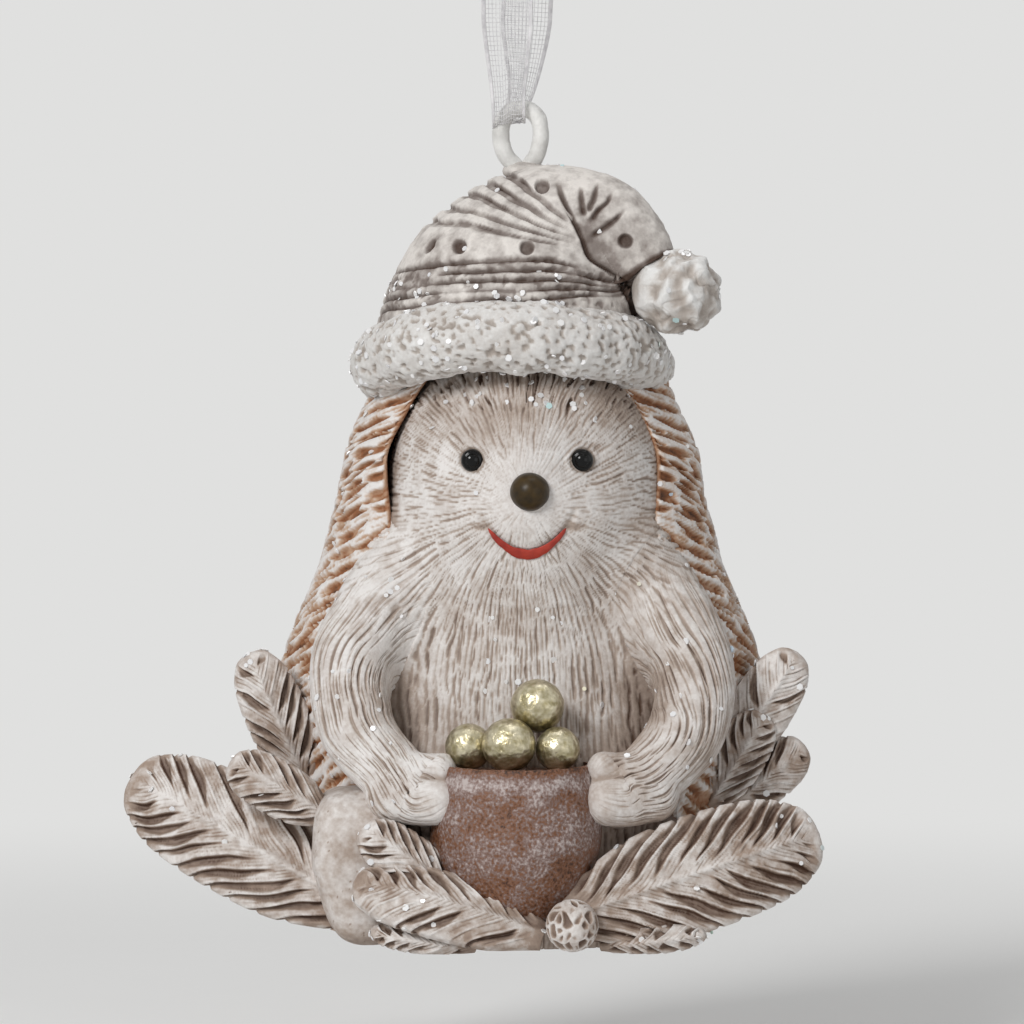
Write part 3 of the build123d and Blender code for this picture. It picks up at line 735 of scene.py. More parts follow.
def blend(weights, fields):
    """The fields added up by their weights, over the plain weight."""
    return sum((weights[name] * field for name, field in fields.items()), weights.get("plain", 0))


class Skin:
    """A grid of points with the amount of dark paint on it: the wash that lies in its hollows, and painted
    shade.
    """

    def __init__(self, points, around=False, capped=False):
        self.points = np.asarray(points, float)
        self.around = around
        self.capped = capped
        self.wash_and_shade = np.zeros(self.points.shape[:2])
        middle = self.points.reshape(-1, 3).mean(axis=0)
        self.turned = False
        self.turned = np.sum(self.normals() * (self.points - middle)) < 0

    def normals(self):
        grid = self.points
        if self.around:
            grid = np.concatenate([grid[:, -1:], grid, grid[:, :1]], axis=1)
        across = np.gradient(grid, axis=1)
        if self.around:
            across = across[:, 1:-1]
        normal = np.cross(across, np.gradient(self.points, axis=0))
        normal /= np.maximum(np.linalg.norm(normal, axis=-1, keepdims=True), tiny)
        return -normal if self.turned else normal

    def carve(self, kind, **marks):
        """Cuts the marks in, each by its own depth."""
        self.points = self.points - self.normals() * blend(depths[kind], marks)[..., None]

    def paint(self, kind, **marks):
        """Adds the wash that the marks hold; some marks are painted shade, and the bowl's rim is a painted
        highlight.
        """
        self.wash_and_shade = self.wash_and_shade + blend(washes_and_shades[kind], marks)

    def grain(self, name, seed=0):
        return grain(self.points, name, seed)

    def x(self):
        return self.points[..., 0]

    def y(self):
        return self.points[..., 1]

    def z(self):
        return self.points[..., 2]


glitter_spots = []


def sprinkle(skin, count, seed, where=1.0):
    """Keeps places for glitter on a skin, more where the weight is higher."""
    draw = np.random.default_rng(seed)
    weight = (np.clip(where, 0, None) * np.ones_like(skin.wash_and_shade)).ravel()
    picked = draw.choice(weight.size, count, p=weight / weight.sum())
    glitter_spots.append((skin.points.reshape(-1, 3)[picked], skin.normals().reshape(-1, 3)[picked]))


def add_mesh(name, points, faces, material):
    """A new object in the scene, from points in metres."""
    mesh = bpy.data.meshes.new(name)
    mesh.from_pydata(points, [], faces)
    mesh.materials.append(material)
    piece = bpy.data.objects.new(name, mesh)
    bpy.context.scene.collection.objects.link(piece)
    return piece


def skin_faces(skin, start):
    """The faces of a skin whose points are numbered from the start."""
    rows, columns = skin.points.shape[:2]
    number = start + np.arange(rows * columns).reshape(rows, columns)
    if skin.around:
        number = np.concatenate([number, number[:, :1]], axis=1)
    corners = [number[:-1, :-1], number[:-1, 1:], number[1:, 1:], number[1:, :-1]]
    quads = np.stack(corners, -1).reshape(-1, 4)
    ends = [number[0, :-1][::-1], number[-1, :-1]] if skin.capped else []
    if skin.turned:
        quads = quads[:, ::-1]
        ends = [end[::-1] for end in ends]
    return quads.tolist() + [end.tolist() for end in ends]


def add_piece(name, skins, material, node=None, body="figure"):
    faces = []
    start = 0
    for skin in skins:
        faces += skin_faces(skin, start)
        start += skin.wash_and_shade.size
    points = np.concatenate([skin.points.reshape(-1, 3) for skin in skins])
    wash_and_shade = np.concatenate([np.clip(skin.wash_and_shade, 0, 1).ravel() for skin in skins])
    piece = add_mesh(name, to_frame(points), faces, material)
    piece.data.attributes.new("wash_and_shade", "FLOAT", "POINT").data.foreach_set("value", wash_and_shade.astype(np.float32))
    piece.data.shade_smooth()
    if body:
        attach(piece, body)
    if node:
        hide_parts(node)
    return piece


def ball_ways(down, around):
    """Which way each place on a ball faces, by its angles down from the top and round from the front."""
    level = np.cos(down) * np.ones_like(around)
    return np.stack([np.sin(down) * np.sin(around), -np.sin(down) * np.cos(around), level], -1)


def ball_skin(middle, radii, kind):
    """The skin of an ellipsoid: rows from its top down, columns round from its front."""
    rows, columns = grids[kind]
    down = np.pi * np.linspace(*ball_span, rows)[:, None]
    around = np.linspace(-np.pi, np.pi, columns, endpoint=False)[None, :]
    return Skin(np.asarray(middle) + ball_ways(down, around) * np.asarray(radii), around=True, capped=True)


def front_dense(count, evenness):
    """Angles round from the front, closer together there."""
    turn = np.linspace(-1, 1, count, endpoint=False)[None, :]
    return np.pi * (evenness * turn + (1 - evenness) * turn ** 3)


def tube_skin(path, radii, columns):
    """The skin round a bent path, with rounded ends where the radii go to nothing."""
    along = unit(np.gradient(path, axis=0))
    side = unit(np.cross(along, tube_guide))
    up = np.cross(along, side)
    around = np.linspace(0, 2 * np.pi, columns, endpoint=False)[None, :, None]
    ring = side[:, None] * np.cos(around) + up[:, None] * np.sin(around)
    return Skin(path[:, None] + ring * np.asarray(radii)[:, None, None], around=True, capped=True)


def rounded(path, radii, end=True):
    """The radii drawn in to nothing at the path's ends, as half balls do."""
    run = run_along(path)
    radii = np.asarray(radii, float)
    for wanted, gap, reach in ((True, run, radii[0]), (end, run[-1] - run, radii[-1])):
        if wanted:
            radii = radii * np.sqrt(np.clip(1 - (1 - np.clip(gap / reach, 0, 1)) ** 2, least_end, 1))
    return radii


def linear(colour):
    """A colour for a shader, from red, green and blue of 0 to 255."""
    share = np.asarray(colour) / 255
    return (*np.where(share <= 0.04045, share / 12.92, ((share + 0.055) / 1.055) ** 2.4), 1.0)


class Finish:
    """A material with short calls for its nodes."""

    def __init__(self, name):
        self.material = bpy.data.materials.new(name)
        self.material.use_nodes = True
        self.tree = self.material.node_tree
        self.shader = self.tree.nodes["Principled BSDF"]
        self.place = self.add("ShaderNodeTexCoord").outputs["Object"]

    def add(self, kind, links=(), **settings):
        node = self.tree.nodes.new(kind)
        for key, value in settings.items():
            if key in node.inputs:
                node.inputs[key].default_value = value
            else:
                setattr(node, key, value)
        for socket, source in links:
            self.tree.links.new(source, node.inputs[socket])
        return node

    def grain(self, size, detail=3.0):
        """Noise with lumps of that size in millimetres."""
        settings = {"Scale": 1 / (size * mm), "Detail": detail}
        return self.add("ShaderNodeTexNoise", [("Vector", self.place)], **settings).outputs["Fac"]

    def sums(self, operation, first, second):
        """Two values, or a value and a number, put together."""
        node = self.add("ShaderNodeMath", [(0, first)], operation=operation)
        if isinstance(second, float):
            node.inputs[1].default_value = second
        else:
            self.tree.links.new(second, node.inputs[1])
        return node.outputs[0]

    def uneven(self, spread, size, detail):
        """Noise about zero, by that spread."""
        return self.sums("MULTIPLY", self.sums("SUBTRACT", self.grain(size, detail), 0.5), spread)

    def washed_and_shaded(self, *amounts):
        """The wash and painted shade of the skin, with uneven amounts added to it."""
        wash_and_shade = self.add("ShaderNodeAttribute", attribute_name="wash_and_shade").outputs["Fac"]
        added = functools.reduce(lambda first, second: self.sums("ADD", first, second), amounts)
        return self.sums("ADD", wash_and_shade, added)

    def wear(self, value, stops):
        """Colours the surface by the value, between the stops."""
        ramp_node = self.add("ShaderNodeValToRGB", [("Fac", value)])
        elements = ramp_node.color_ramp.elements
        for element, (place, colour) in zip(elements, (stops[0], stops[-1])):
            element.position = place
            element.color = linear(colour)
        for place, colour in stops[1:-1]:
            elements.new(place).color = linear(colour)
        self.tree.links.new(ramp_node.outputs["Color"], self.shader.inputs["Base Color"])

    def bump(self, height, depth, strength=1.0):
        node = self.add("ShaderNodeBump", [("Height", height)], Distance=depth * mm, Strength=strength)
        self.tree.links.new(node.outputs["Normal"], self.shader.inputs["Normal"])

    def gloss(self, roughness, specular=0.4, metallic=0.0):
        self.shader.inputs["Roughness"].default_value = roughness
        self.shader.inputs["Specular IOR Level"].default_value = specular
        self.shader.inputs["Metallic"].default_value = metallic
        return self.material


def painted(name):
    """Cast resin, painted pale over a dark wash that stays in the hollows, with painted shade laid on through
    the same wash.
    """
    stops, roughness, spread = paints[name]
    finish = Finish(name)
    patches = finish.uneven(spread, *paint_patches)
    specks = finish.uneven(spread, *paint_specks)
    finish.wear(finish.washed_and_shaded(patches, specks), stops)
    finish.bump(finish.grain(*paint_tooth), depth=0.05)
    return finish.gloss(roughness)


def bead(name):
    """A glossy cast bead with a little unevenness under its lacquer."""
    stops, roughness = beads[name]
    finish = Finish(name)
    finish.wear(finish.grain(*bead_patches), stops)
    finish.bump(finish.grain(*bead_tooth), depth=0.02, strength=0.4)
    return finish.gloss(roughness, specular=0.25)


def gold_leaf():
    """Champagne leaf rubbed on dark paint."""
    finish = Finish("gold_leaf")
    finish.wear(finish.washed_and_shaded(finish.uneven(gold_spread, *gold_rub)), gold_stops)
    finish.bump(finish.grain(*gold_tooth), depth=0.09)
    return finish.gloss(roughness=0.3, metallic=0.85)


def bowl_paint():
    """Sienna paint, finely mottled, with a pale wash on top, and the painted shade and the rim's painted
    highlight that the skin carries.
    """
    finish = Finish("bowl_paint")
    patches = finish.uneven(bowl_patch_spread, *bowl_patches)
    specks = finish.uneven(bowl_speck_spread, *bowl_specks)
    finish.wear(finish.washed_and_shaded(patches, specks), bowl_stops)
    finish.bump(finish.grain(*paint_tooth), depth=0.12)
    return finish.gloss(roughness=0.5)


def glitter_flakes():
    """Clear flakes, with a tinted one now and then."""
    finish = Finish("glitter")
    finish.wear(finish.add("ShaderNodeNewGeometry").outputs["Random Per Island"], flake_stops)
    return finish.gloss(roughness=0.3, specular=0.8, metallic=0.1)


def organza():
    finish = Finish("organza")
    finish.wear(finish.grain(*organza_patches), organza_stops)
    return finish.gloss(roughness=0.35, specular=0.5)


def make_camera():
    distance = view_width * camera_lens / camera_sensor * mm
    data = bpy.data.cameras.new("camera")
    data.lens = camera_lens
    data.sensor_width = camera_sensor
    camera = bpy.data.objects.new("camera", data)
    back_and_up = np.array([0, -math.cos(camera_rise), math.sin(camera_rise)])
    camera.location = to_frame(view_middle) + distance * back_and_up
    camera.rotation_euler = (math.pi / 2 - camera_rise, 0, 0)
    bpy.context.scene.collection.objects.link(camera)
    bpy.context.scene.camera = camera


def route_line(route):
    """Points in millimetres along a smooth spline that has the route's points as its control points."""
    data = bpy.data.curves.new("route", "CURVE")
    data.dimensions = "3D"
    data.resolution_u = route_steps
    spline = data.splines.new("NURBS")
    spline.points.add(len(route) - 1)
    for point, (x, y, rise) in zip(spline.points, route):
        point.co = (x, y, rise, 1)
    spline.order_u = 3
    spline.use_endpoint_u = True
    holder = bpy.data.objects.new("route", data)
    line_mesh = bpy.data.meshes.new_from_object(holder)
    line = np.array([vertex.co for vertex in line_mesh.vertices])
    bpy.data.meshes.remove(line_mesh)
    bpy.data.objects.remove(holder)
    bpy.data.curves.remove(data)
    return line + np.array([*eyelet_middle, wire_top])


def spaced(line, pitch):
    """The line again, with points at an even pitch, and how far along each is."""
    run = run_along(line)
    places = np.linspace(0, run[-1], int(run[-1] / pitch) + 1)
    return np.stack([np.interp(places, run, line[:, axis]) for axis in range(3)], -1), places


def thread(points, radius):
    """A thin four-sided thread along a line of points."""
    along = unit(np.gradient(points, axis=0))
    guide = np.where(np.abs(along[:, 1:2]) < steep_thread, [[0.0, 1.0, 0.0]], [[0.0, 0.0, 1.0]])
    side = unit(np.cross(along, guide))
    up = np.cross(along, side)
    ring = np.stack([side, up, -side, -up], axis=1)
    return Skin(points[:, None] + radius * ring, around=True, capped=True)


def weave(middle, half_width, across, outward, cup, drape=0.0, bunch=0.0):
    """Threads of a ribbon whose middle line, half width, cupping and bunching are given along its length."""
    def at(share):
        lift = cup * (share ** 2 - cup_level) + bunch * np.sin(bunch_turn * share)
        points = middle + across * (half_width * share)[:, None] + outward * lift[:, None]
        aside = np.clip(np.abs(points[:, 0] - eyelet_middle[0]), 0, drape_share * eye_ring_radius)
        points[:, 2] -= drape * (eye_ring_radius - np.sqrt(eye_ring_radius ** 2 - aside ** 2))
        return points

    ones = np.ones(len(middle))
    warp_shares = np.linspace(-warp_reach, warp_reach, warp_count)
    skins = [thread(at(ones * share), thread_radius) for share in warp_shares]
    for side in (-1, 1):
        for number in range(selvage_threads):
            skins.append(thread(at(side * ones * (1 - selvage_step * number)), selvage_radius))
    weft_lines = np.stack([at(ones * share) for share in np.linspace(-1, 1, weft_points)], axis=1)
    return skins + [thread(line, thread_radius) for line in weft_lines]


def make_ribbon_leg(name, route, eye_width, side, material, nodes):
    line = route_line(route)
    middle, run = spaced(line, weft_pitch)
    opening = over(run, "ribbon_opening")
    half_width = (eye_width + (ribbon_width - eye_width) * opening) / 2
    along = unit(np.gradient(middle, axis=0))
    across = unit(np.array([1.0, 0.0, 0.0]) - along * along[:, :1])
    outward = np.cross(along, across) * -side
    cup = eye_cup * (1 - opening) * over(run, "cup_start") - loop_cup * opening
    drape = eye_drape * over(run, "drape_end")
    bunch = eye_bunch * over(run, "bunch_end") * over(run, "bunch_start")
    skins = weave(middle, half_width, across, outward, cup, drape, bunch)
    piece = add_piece(name, skins, material, body=None)
    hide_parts(*nodes)
    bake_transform(piece)


def wave(turn):
    return np.sin(turn) * 0.5 + 0.5


def make_knot(material):
    """The overhand knot that closes the loop: a fat wrapped roll with the folds of the ribbon."""
    skin = ball_skin(knot_middle, knot_radii, "knot")
    local = skin.points - knot_middle
    x, y, z = np.moveaxis(local, -1, 0)
    bearing = np.arctan2(z, x)
    folds = wave(bearing * knot_folds + y * knot_fold_twist + knot_fold_wander * grain(local, "knot"))
    threads = wave(bearing * knot_threads + y * knot_thread_twist)
    skin.carve("knot", folds=folds ** 3, threads=threads)
    piece = add_piece("ribbon_knot_wrap", [skin], material, "ribbon_knot", "ribbon_loop")


def make_tails(material):
    skins = []
    for side in (-1, 1):
        splay = tail_splay * side
        run = np.linspace(0, tail_length, int(tail_length / weft_pitch))
        out = np.array([math.sin(splay), 0.0, math.cos(splay)])
        across = np.tile([math.cos(splay), 0.0, -math.sin(splay)], (len(run), 1))
        outward = np.tile([0.0, -1.0, 0.0], (len(run), 1))
        start = knot_middle + out * knot_radii[2] * tail_root_share
        waves = tail_wave * np.sin(run / tail_wave_pitch)
        middle = start + out * run[:, None] + outward * waves[:, None]
        middle[:, 1] += side * tail_gap
        half_width = tail_width / 2 * at_least(tail_pinch, over(run, "tail_opening"))
        skins += weave(middle, half_width, across, outward, tail_cup * np.cos(run / tail_cup_pitch))
    piece = add_piece("ribbon_tails_weave", skins, material, "ribbon_tails", "ribbon_loop")


def ellipsoid_gap(points, middle, radii):
    """About how far points lie outside an ellipsoid."""
    local = (points - middle) / radii
    near = np.linalg.norm(local, axis=-1)
    return near * (near - 1) / np.maximum(np.linalg.norm(local / radii, axis=-1), tiny)


def chain_gap(points, path, radii):
    """About how far points lie outside a row of balls."""
    gap = np.full(points.shape[:-1], np.inf)
    for middle, radius in zip(path, radii):
        gap = np.minimum(gap, np.linalg.norm(points - middle, axis=-1) - radius)
    return gap


def soft_min(first, second, reach):
    """The smaller of two gaps, with a rounded corner where they are alike."""
    near = np.maximum(reach - np.abs(first - second), 0) / reach
    return np.minimum(first, second) - near ** 2 * reach / 4


def head_gap(points):
    return ellipsoid_gap(points, head_middle, head_radii)


def torso_gap(points):
    """About how far points lie outside the torso."""
    rows = smooth(torso_rows, torso_gap_rows)
    wide, deep, back = (np.interp(points[..., 2], rows[:, 0], rows[:, column]) for column in (1, 2, 3))
    flat = np.stack([points[..., 0] - body_x, points[..., 1] - back], -1)
    sizes = np.stack([wide, deep], -1)
    return np.maximum(ellipsoid_gap(flat, 0, sizes), points[..., 2] - torso_rows[-1][0])


def arm_line(side, count):
    """The middle of an arm from inside the shoulder to the paw's tip, and its radii."""
    points = [shoulder_root]
    for down, out in arm_shares:
        points.append(shoulder + down * (paw - shoulder) + np.array([out * elbow_out, 0, 0]))
    points.append(paw_tip)
    mirrored = np.array([body_x, 0, 0]) + np.array(points) * np.array([side, 1, 1])
    return smooth(mirrored, count), smooth_values(arm_radii, count)


def finger_gaps(points):
    """About how far points lie outside each finger."""
    gaps = []
    for root, end, radius in fingers:
        line = smooth([root, end], finger_balls)
        gaps.append(chain_gap(points, line, np.full(finger_balls, radius)))
    return gaps


def to_right_side(points):
    return np.stack([body_x + np.abs(points[..., 0] - body_x), points[..., 1], points[..., 2]], -1)


def arm_gap(points):
    """About how far points lie outside the arm and fingers on their side."""
    mirrored = to_right_side(points)
    path, radii = arm_line(1, arm_balls)
    gap = chain_gap(mirrored, path, rounded(path, radii))
    for finger_gap in finger_gaps(mirrored):
        gap = soft_min(gap, finger_gap, finger_blend)
    return gap


def finger_clefts(points):
    """How near points lie to the valleys between fingers."""
    gaps = np.sort(finger_gaps(to_right_side(points)), axis=0)
    return peak(gaps[1] - gaps[0], "cleft") * over(gaps[0], "cleft_reach")


def crown_gap(points):
    """About how far points lie outside the leaning crown of the hat, by its side or by its top."""
    rows = smooth(crown_shares, crown_gap_rows)
    up = np.clip((points[..., 2] - crown_base) / crown_rise, rows[0, 0], rows[-1, 0])
    middle_x = band_middle[0] + crown_lean * np.interp(up, rows[:, 0], rows[:, 2])
    out = np.hypot((points[..., 0] - middle_x) / crown_half_width, points[..., 1] / crown_half_depth)
    steep = np.gradient(rows[:, 1], rows[:, 0]) * crown_half_width / crown_rise
    slope = np.interp(up, rows[:, 0], steep)
    beside = (out - np.interp(up, rows[:, 0], rows[:, 1])) * crown_half_width / np.sqrt(1 + slope ** 2)
    top = rows[np.argmax(rows[:, 1]):][::-1]
    fall = np.gradient(top[:, 0], top[:, 1]) * crown_rise / crown_half_width
    under = crown_base + crown_rise * np.interp(out, top[:, 1], top[:, 0])
    above = (points[..., 2] - under) / np.sqrt(1 + np.interp(out, top[:, 1], fall) ** 2)
    return np.maximum(beside, np.where(out < 1, above, beside))


def tip_gap(points):
    return chain_gap(points, smooth(tip_points, tip_balls), smooth_values(tip_radii, tip_balls))


body_forms = {"head": head_gap, "torso": torso_gap, "arm": arm_gap}
hat_forms = {"crown": crown_gap, "tip": tip_gap}


def flowed_together(skin, own, forms, reach):
    """Lays a skin on the smooth whole of several forms, so that they meet with no edge between them."""
    normal = skin.normals()
    start = skin.points
    lift = np.zeros(start.shape[:2])
    for _ in range(flow_steps):
        points = start + normal * lift[..., None]
        gaps = {name: form(points) for name, form in forms.items()}
        whole = functools.reduce(lambda first, second: soft_min(first, second, reach), gaps.values())
        lift = np.clip(lift - whole, 0, highest_lift)
    others = np.minimum.reduce([gap for name, gap in gaps.items() if name != own])
    tuck = tucked_under * over(gaps[own] - others, "seam")
    skin.points = start + normal * (lift - tuck)[..., None]


def fur_strokes(points, pitch, length, seed):
    """Strokes that run out from the nose and turn straight down the chest."""
    aside = points[..., 0] - head_middle[0]
    down = nose_height - points[..., 2]
    past_chin = down - chin_drop
    below = 0.5 * (past_chin + np.sqrt(past_chin ** 2 + chin_softness ** 2))
    short_down = down - below
    front = points[..., 1] - head_middle[1]
    distance = np.hypot(aside, short_down) + below + fur_side_share * np.clip(front + fur_side_start, 0, None)
    angle = np.arctan2(aside, short_down)
    place = np.stack([aside, down, front], -1) / fur_noise_size
    ring = distance / length + fur_ring_wander * noise(place, fur_ring_size, seed)
    ring_number = np.floor(ring)
    radius = (ring_number + fur_ring_place) * length
    radius = np.where(down > 0, np.minimum(radius, chin_drop + chin_lanes_reach), radius)
    lanes = np.maximum(np.round(2 * np.pi * radius / pitch), fur_fewest_lanes)
    lane = (angle / (2 * np.pi) + 0.5) * lanes
    for reach, size, seed_step in fur_lane_wanders:
        lane = lane + reach * noise(place, size, seed + seed_step)
    luck = chance(np.floor(lane), ring_number, seed + 1)
    half_width = fur_thin * stroke_width(luck, fur_half_width, ring - ring_number)
    strength = at_least(fur_faintest, chance(np.floor(lane), ring_number, seed + 2))
    return over(half_width - off_lane(lane), "fur_edge") * strength


def fur(points):
    coarse = fur_strokes(points, *coarse_fur)
    return np.maximum(coarse, fine_fur_share * fur_strokes(points + fine_fur_shift, *fine_fur))


def smudges(skin):
    """The uneven dark wash that was left on when the paint was wiped, more of it on the right."""
    marks = {name: skin.grain("smudge_" + name) for name in ("large", "middle", "fine")}
    return blend(washes_and_shades["smudges"], {**marks, "right": over(skin.x(), "smudge_right")})


def make_torso(material):
    rows, columns = grids["torso"]
    angles = front_dense(columns, torso_evenness)
    height, wide, deep, middle_y = np.hsplit(smooth(torso_rows, rows), 4)
    level = np.clip(height, 0, None) * np.ones_like(angles)
    points = np.stack([body_x + wide * np.sin(angles), middle_y - deep * np.cos(angles), level], -1)
    skin = Skin(points, around=True, capped=True)
    flowed_together(skin, "torso", body_forms, body_blend)
    groove = fur(skin.points)
    # Painted shade on the sides of the chest beside the arms, and low down behind the paws and the bowl
    beside_arms = over(np.abs(skin.x() - body_x), "arm_shade_across") * over(skin.z(), "arm_shade_height")
    skin.carve("torso", fur=groove)
    low = over(skin.z(), "torso_low")
    skin.paint("torso", fur=groove, beside_arms=beside_arms, low=low, smudges=smudges(skin))
    skin.wash_and_shade[0] = skin.wash_and_shade[0].mean()
    add_piece("body", [skin], material, "torso")
    sprinkle(skin, *sprinkles["torso"], over(skin.z(), "chest_glitter") * (skin.y() < chest_glitter_front))


def face_form(x, z):
    """How far the face stands forward of an ellipsoid: muzzle, cheeks, brow and the dents of its eyes."""
    aside = np.abs(x - head_middle[0])
    total = 0
    for high, out, level, wide, tall in face_bumps:
        total = total + high * np.exp(-((aside - out) / wide) ** 2 - ((z - level) / tall) ** 2)
    return total


def face_front(x, z):
    """The y of the face where it is seen at that x and height."""
    aside = (np.stack(np.broadcast_arrays(x, z), -1) - head_middle[[0, 2]]) / head_radii[[0, 2]]
    round_front = head_radii[1] * np.sqrt(np.clip(1 - np.sum(aside ** 2, -1), 0, 1))
    return head_middle[1] - round_front - face_form(x, z)


def mouth_line(x):
    return mouth_height - mouth_sag * (1 - ((x - head_middle[0]) / mouth_half_width) ** 2)


def make_head(material):
    rows, columns = grids["face"]
    turn = np.linspace(-1, 1, columns)
    angles = np.pi * (head_turns[0] * turn + head_turns[1] * turn ** 3)
    ways = ball_ways(np.pi * np.linspace(*head_span, rows)[:, None], angles)
    skin = Skin(head_middle + ways * head_radii)
    flowed_together(skin, "head", body_forms, body_blend)
    x, z = skin.x(), skin.z()
    facing = over(-ways[..., 1], "face_turn")
    skin.points[..., 1] -= face_form(x, z) * facing
    aside = np.abs(x - head_middle[0])
    near_nose = np.hypot(aside, z - nose_height)
    eye_gap = np.hypot(aside - eye_spread, z - eye_height)
    groove = fur(skin.points) * at_least(nose_fur_least, over(near_nose, "nose_fur"))
    smile = peak(np.abs(z - mouth_line(x)), "crease")
    crease = smile * over(aside - mouth_half_width, "mouth_ends") * facing
    kept_fur = groove * (1 - crease_fur_loss * crease)
    skin.carve("face", fur=kept_fur, crease=crease, lids=peak(eye_gap, "lid") * facing)
    dimples = peak(aside, "dimple_across") * peak(z - mouth_height, "dimple_height") * facing
    brow = over(z, "brow_height") * over(fur_strokes(skin.points, *brow_fur), "brow_cut")
    skin.carve("brow", brow=brow, dimples=dimples)
    pale_fur = groove * (1 - pale_nose_loss * peak(near_nose, "pale_nose"))
    # Painted shade: darker up the forehead under the hat band, and under the chin
    skin.paint(
        "face", fur=pale_fur, brow=brow, dimples=dimples, crease=crease,
        round_eyes=peak(eye_gap, "eye_line") * facing, sides=over(aside, "face_sides"),
        forehead=over(z, "forehead"), chin=over(z, "chin"),
        smudges=smudges(skin) * at_least(nose_smudge_least, over(near_nose, "nose_smudges")),
    )
    add_piece("face", [skin], material, "head")
    sprinkle(skin, *sprinkles["face"], (over(z, "face_glitter") + face_glitter_least) * facing)


def make_eye(name, side, material):
    x = head_middle[0] + side * eye_spread
    front = face_front(np.array(x), np.array(eye_height))
    skin = ball_skin((x, front + eye_seat, eye_height), eye_radius, "eye")
    ring = np.hypot(skin.x() - x, skin.z() - eye_height)
    skin.carve("eye", ring=peak(ring - eye_ring_share * eye_radius, "eye_ring"))
    add_piece(name + "_bead", [skin], material, name)


def make_nose(material):
    front = face_front(np.array(head_middle[0]), np.array(nose_height))
    middle = (head_middle[0] + nose_shift, front + nose_seat, nose_height)
    skin = ball_skin(middle, (nose_radius, nose_radius, nose_squash * nose_radius), "nose")
    skin.carve("nose", lumps=skin.grain("nose_lumps"), fine=skin.grain("nose_fine"))
    add_piece("nose_bead", [skin], material, "nose")


def make_mouth(material):
    rows, columns = grids["mouth"]
    along = np.linspace(-1, 1, rows)[:, None]
    around = np.linspace(0, 2 * np.pi, columns, endpoint=False)[None, :]
    x = head_middle[0] + mouth_half_width * along
    ends = np.sqrt(np.clip(mouth_end_room - along ** mouth_end_power, 0, 1))
    half = mouth_thickness / 2 * (mouth_end_width + mouth_bulge * np.cos(along * np.pi / 2)) * ends
    z = mouth_line(x) + half * np.cos(around)
    y = face_front(x, z) + mouth_seat - mouth_round * half / mouth_thickness * (1 + np.sin(around))
    skin = Skin(np.stack([np.broadcast_to(x, z.shape), y, z], -1), around=True, capped=True)
    skin.carve("mouth", fine=skin.grain("mouth_fine"))
    skin.paint("mouth", front=over(np.sin(around), "mouth_front"), patches=skin.grain("mouth_patches"))
    add_piece("smile", [skin], material, "mouth")


def coat_outline(rows, side_columns):
    """The coat's flat outline at each height, from one curled lip round the back to the other."""
    height, wide, deep, front = np.hsplit(smooth(coat_rows, rows), 4)
    edge = np.arccos(np.clip((coat_back - front) / deep, -1, 1))
    angle = edge + (np.pi - edge) * np.linspace(0, 1, side_columns)[None, :]
    side_points = np.stack([wide * np.sin(angle), -deep * np.cos(angle)], -1)
    ahead = unit(np.stack([-np.cos(edge) * wide, -np.sin(edge) * deep], -1))
    inward = np.stack([ahead[..., 1], -ahead[..., 0]], -1)
    curl = np.linspace(*coat_lip_curl, coat_lip_columns)[None, :, None]
    rim = side_points[:, :1] + coat_lip * (np.sin(curl) * ahead + (1 - np.cos(curl)) * inward)
    half = np.concatenate([rim, side_points], axis=1)
    steps = np.linalg.norm(np.diff(half, axis=1), axis=-1)
    run = np.concatenate([np.zeros((rows, 1)), np.cumsum(steps, axis=1)], axis=1)
    flat = np.concatenate([half * np.array([-1, 1]), half[:, ::-1]], axis=1)
    from_lip = np.concatenate([run, run[:, ::-1]], axis=1)
    return flat, from_lip, np.clip(height, 0, None) * np.ones_like(from_lip)


def with_base(skin):
    """The coat's skin with a flat base that runs in under the body."""
    hem = skin.points[:1]
    inward_shares = np.array(coat_base_shares)[:, None, None]
    base = hem + inward_shares * (np.array([body_x, coat_back, 0]) - hem)
    base[..., 2] = coat_base_lift
    whole = Skin(np.concatenate([base, skin.points]))
    base_wash = np.full(base.shape[:2], skin.wash_and_shade[0].mean())
    whole.wash_and_shade = np.concatenate([base_wash, skin.wash_and_shade])
    return whole


def make_coat(material):
    flat, from_lip, level = coat_outline(*grids["coat"])
    skin = Skin(np.stack([body_x + flat[..., 0], coat_back + flat[..., 1], level], -1))
    tilt = np.radians(coat_tilt + coat_tilt_below * over(level, "coat_tilt"))
    along = np.sin(tilt) * level - np.cos(tilt) * from_lip
    across = np.cos(tilt) * level + np.sin(tilt) * from_lip
    cuts = {}
    for kind, (shift_along, shift_across, *stroke) in coat_strokes.items():
        cuts[kind] = strokes(along + shift_along, across + shift_across, *stroke)
    scratch = cuts["scratch"]
    lip = ramp(2 * coat_lip - from_lip, 0, coat_lip_fade)
    quills = np.maximum(cuts["wide"], side_quill_share * cuts["side"])
    groove = over(quills, "coat_groove") * (1 - lip)
    skin.carve("coat", groove=groove, scratch=scratch * (1 - lip), lumps=skin.grain("coat_lumps"))
    tint = 0.5 + 0.5 * skin.grain("coat_tint")
    patches = skin.grain("coat_patches")
    # Painted shade low on the coat, towards its base
    skin.paint(
        "coat", groove=groove, tinted_groove=tint * groove, patchy_groove=patches * groove, lip=lip,
        tint=tint, scratch=scratch, low=over(skin.z(), "coat_low"), patches=patches,
    )
    add_piece("coat", [with_base(skin)], material, "spine_coat")
    sprinkle(skin, *sprinkles["coat"])


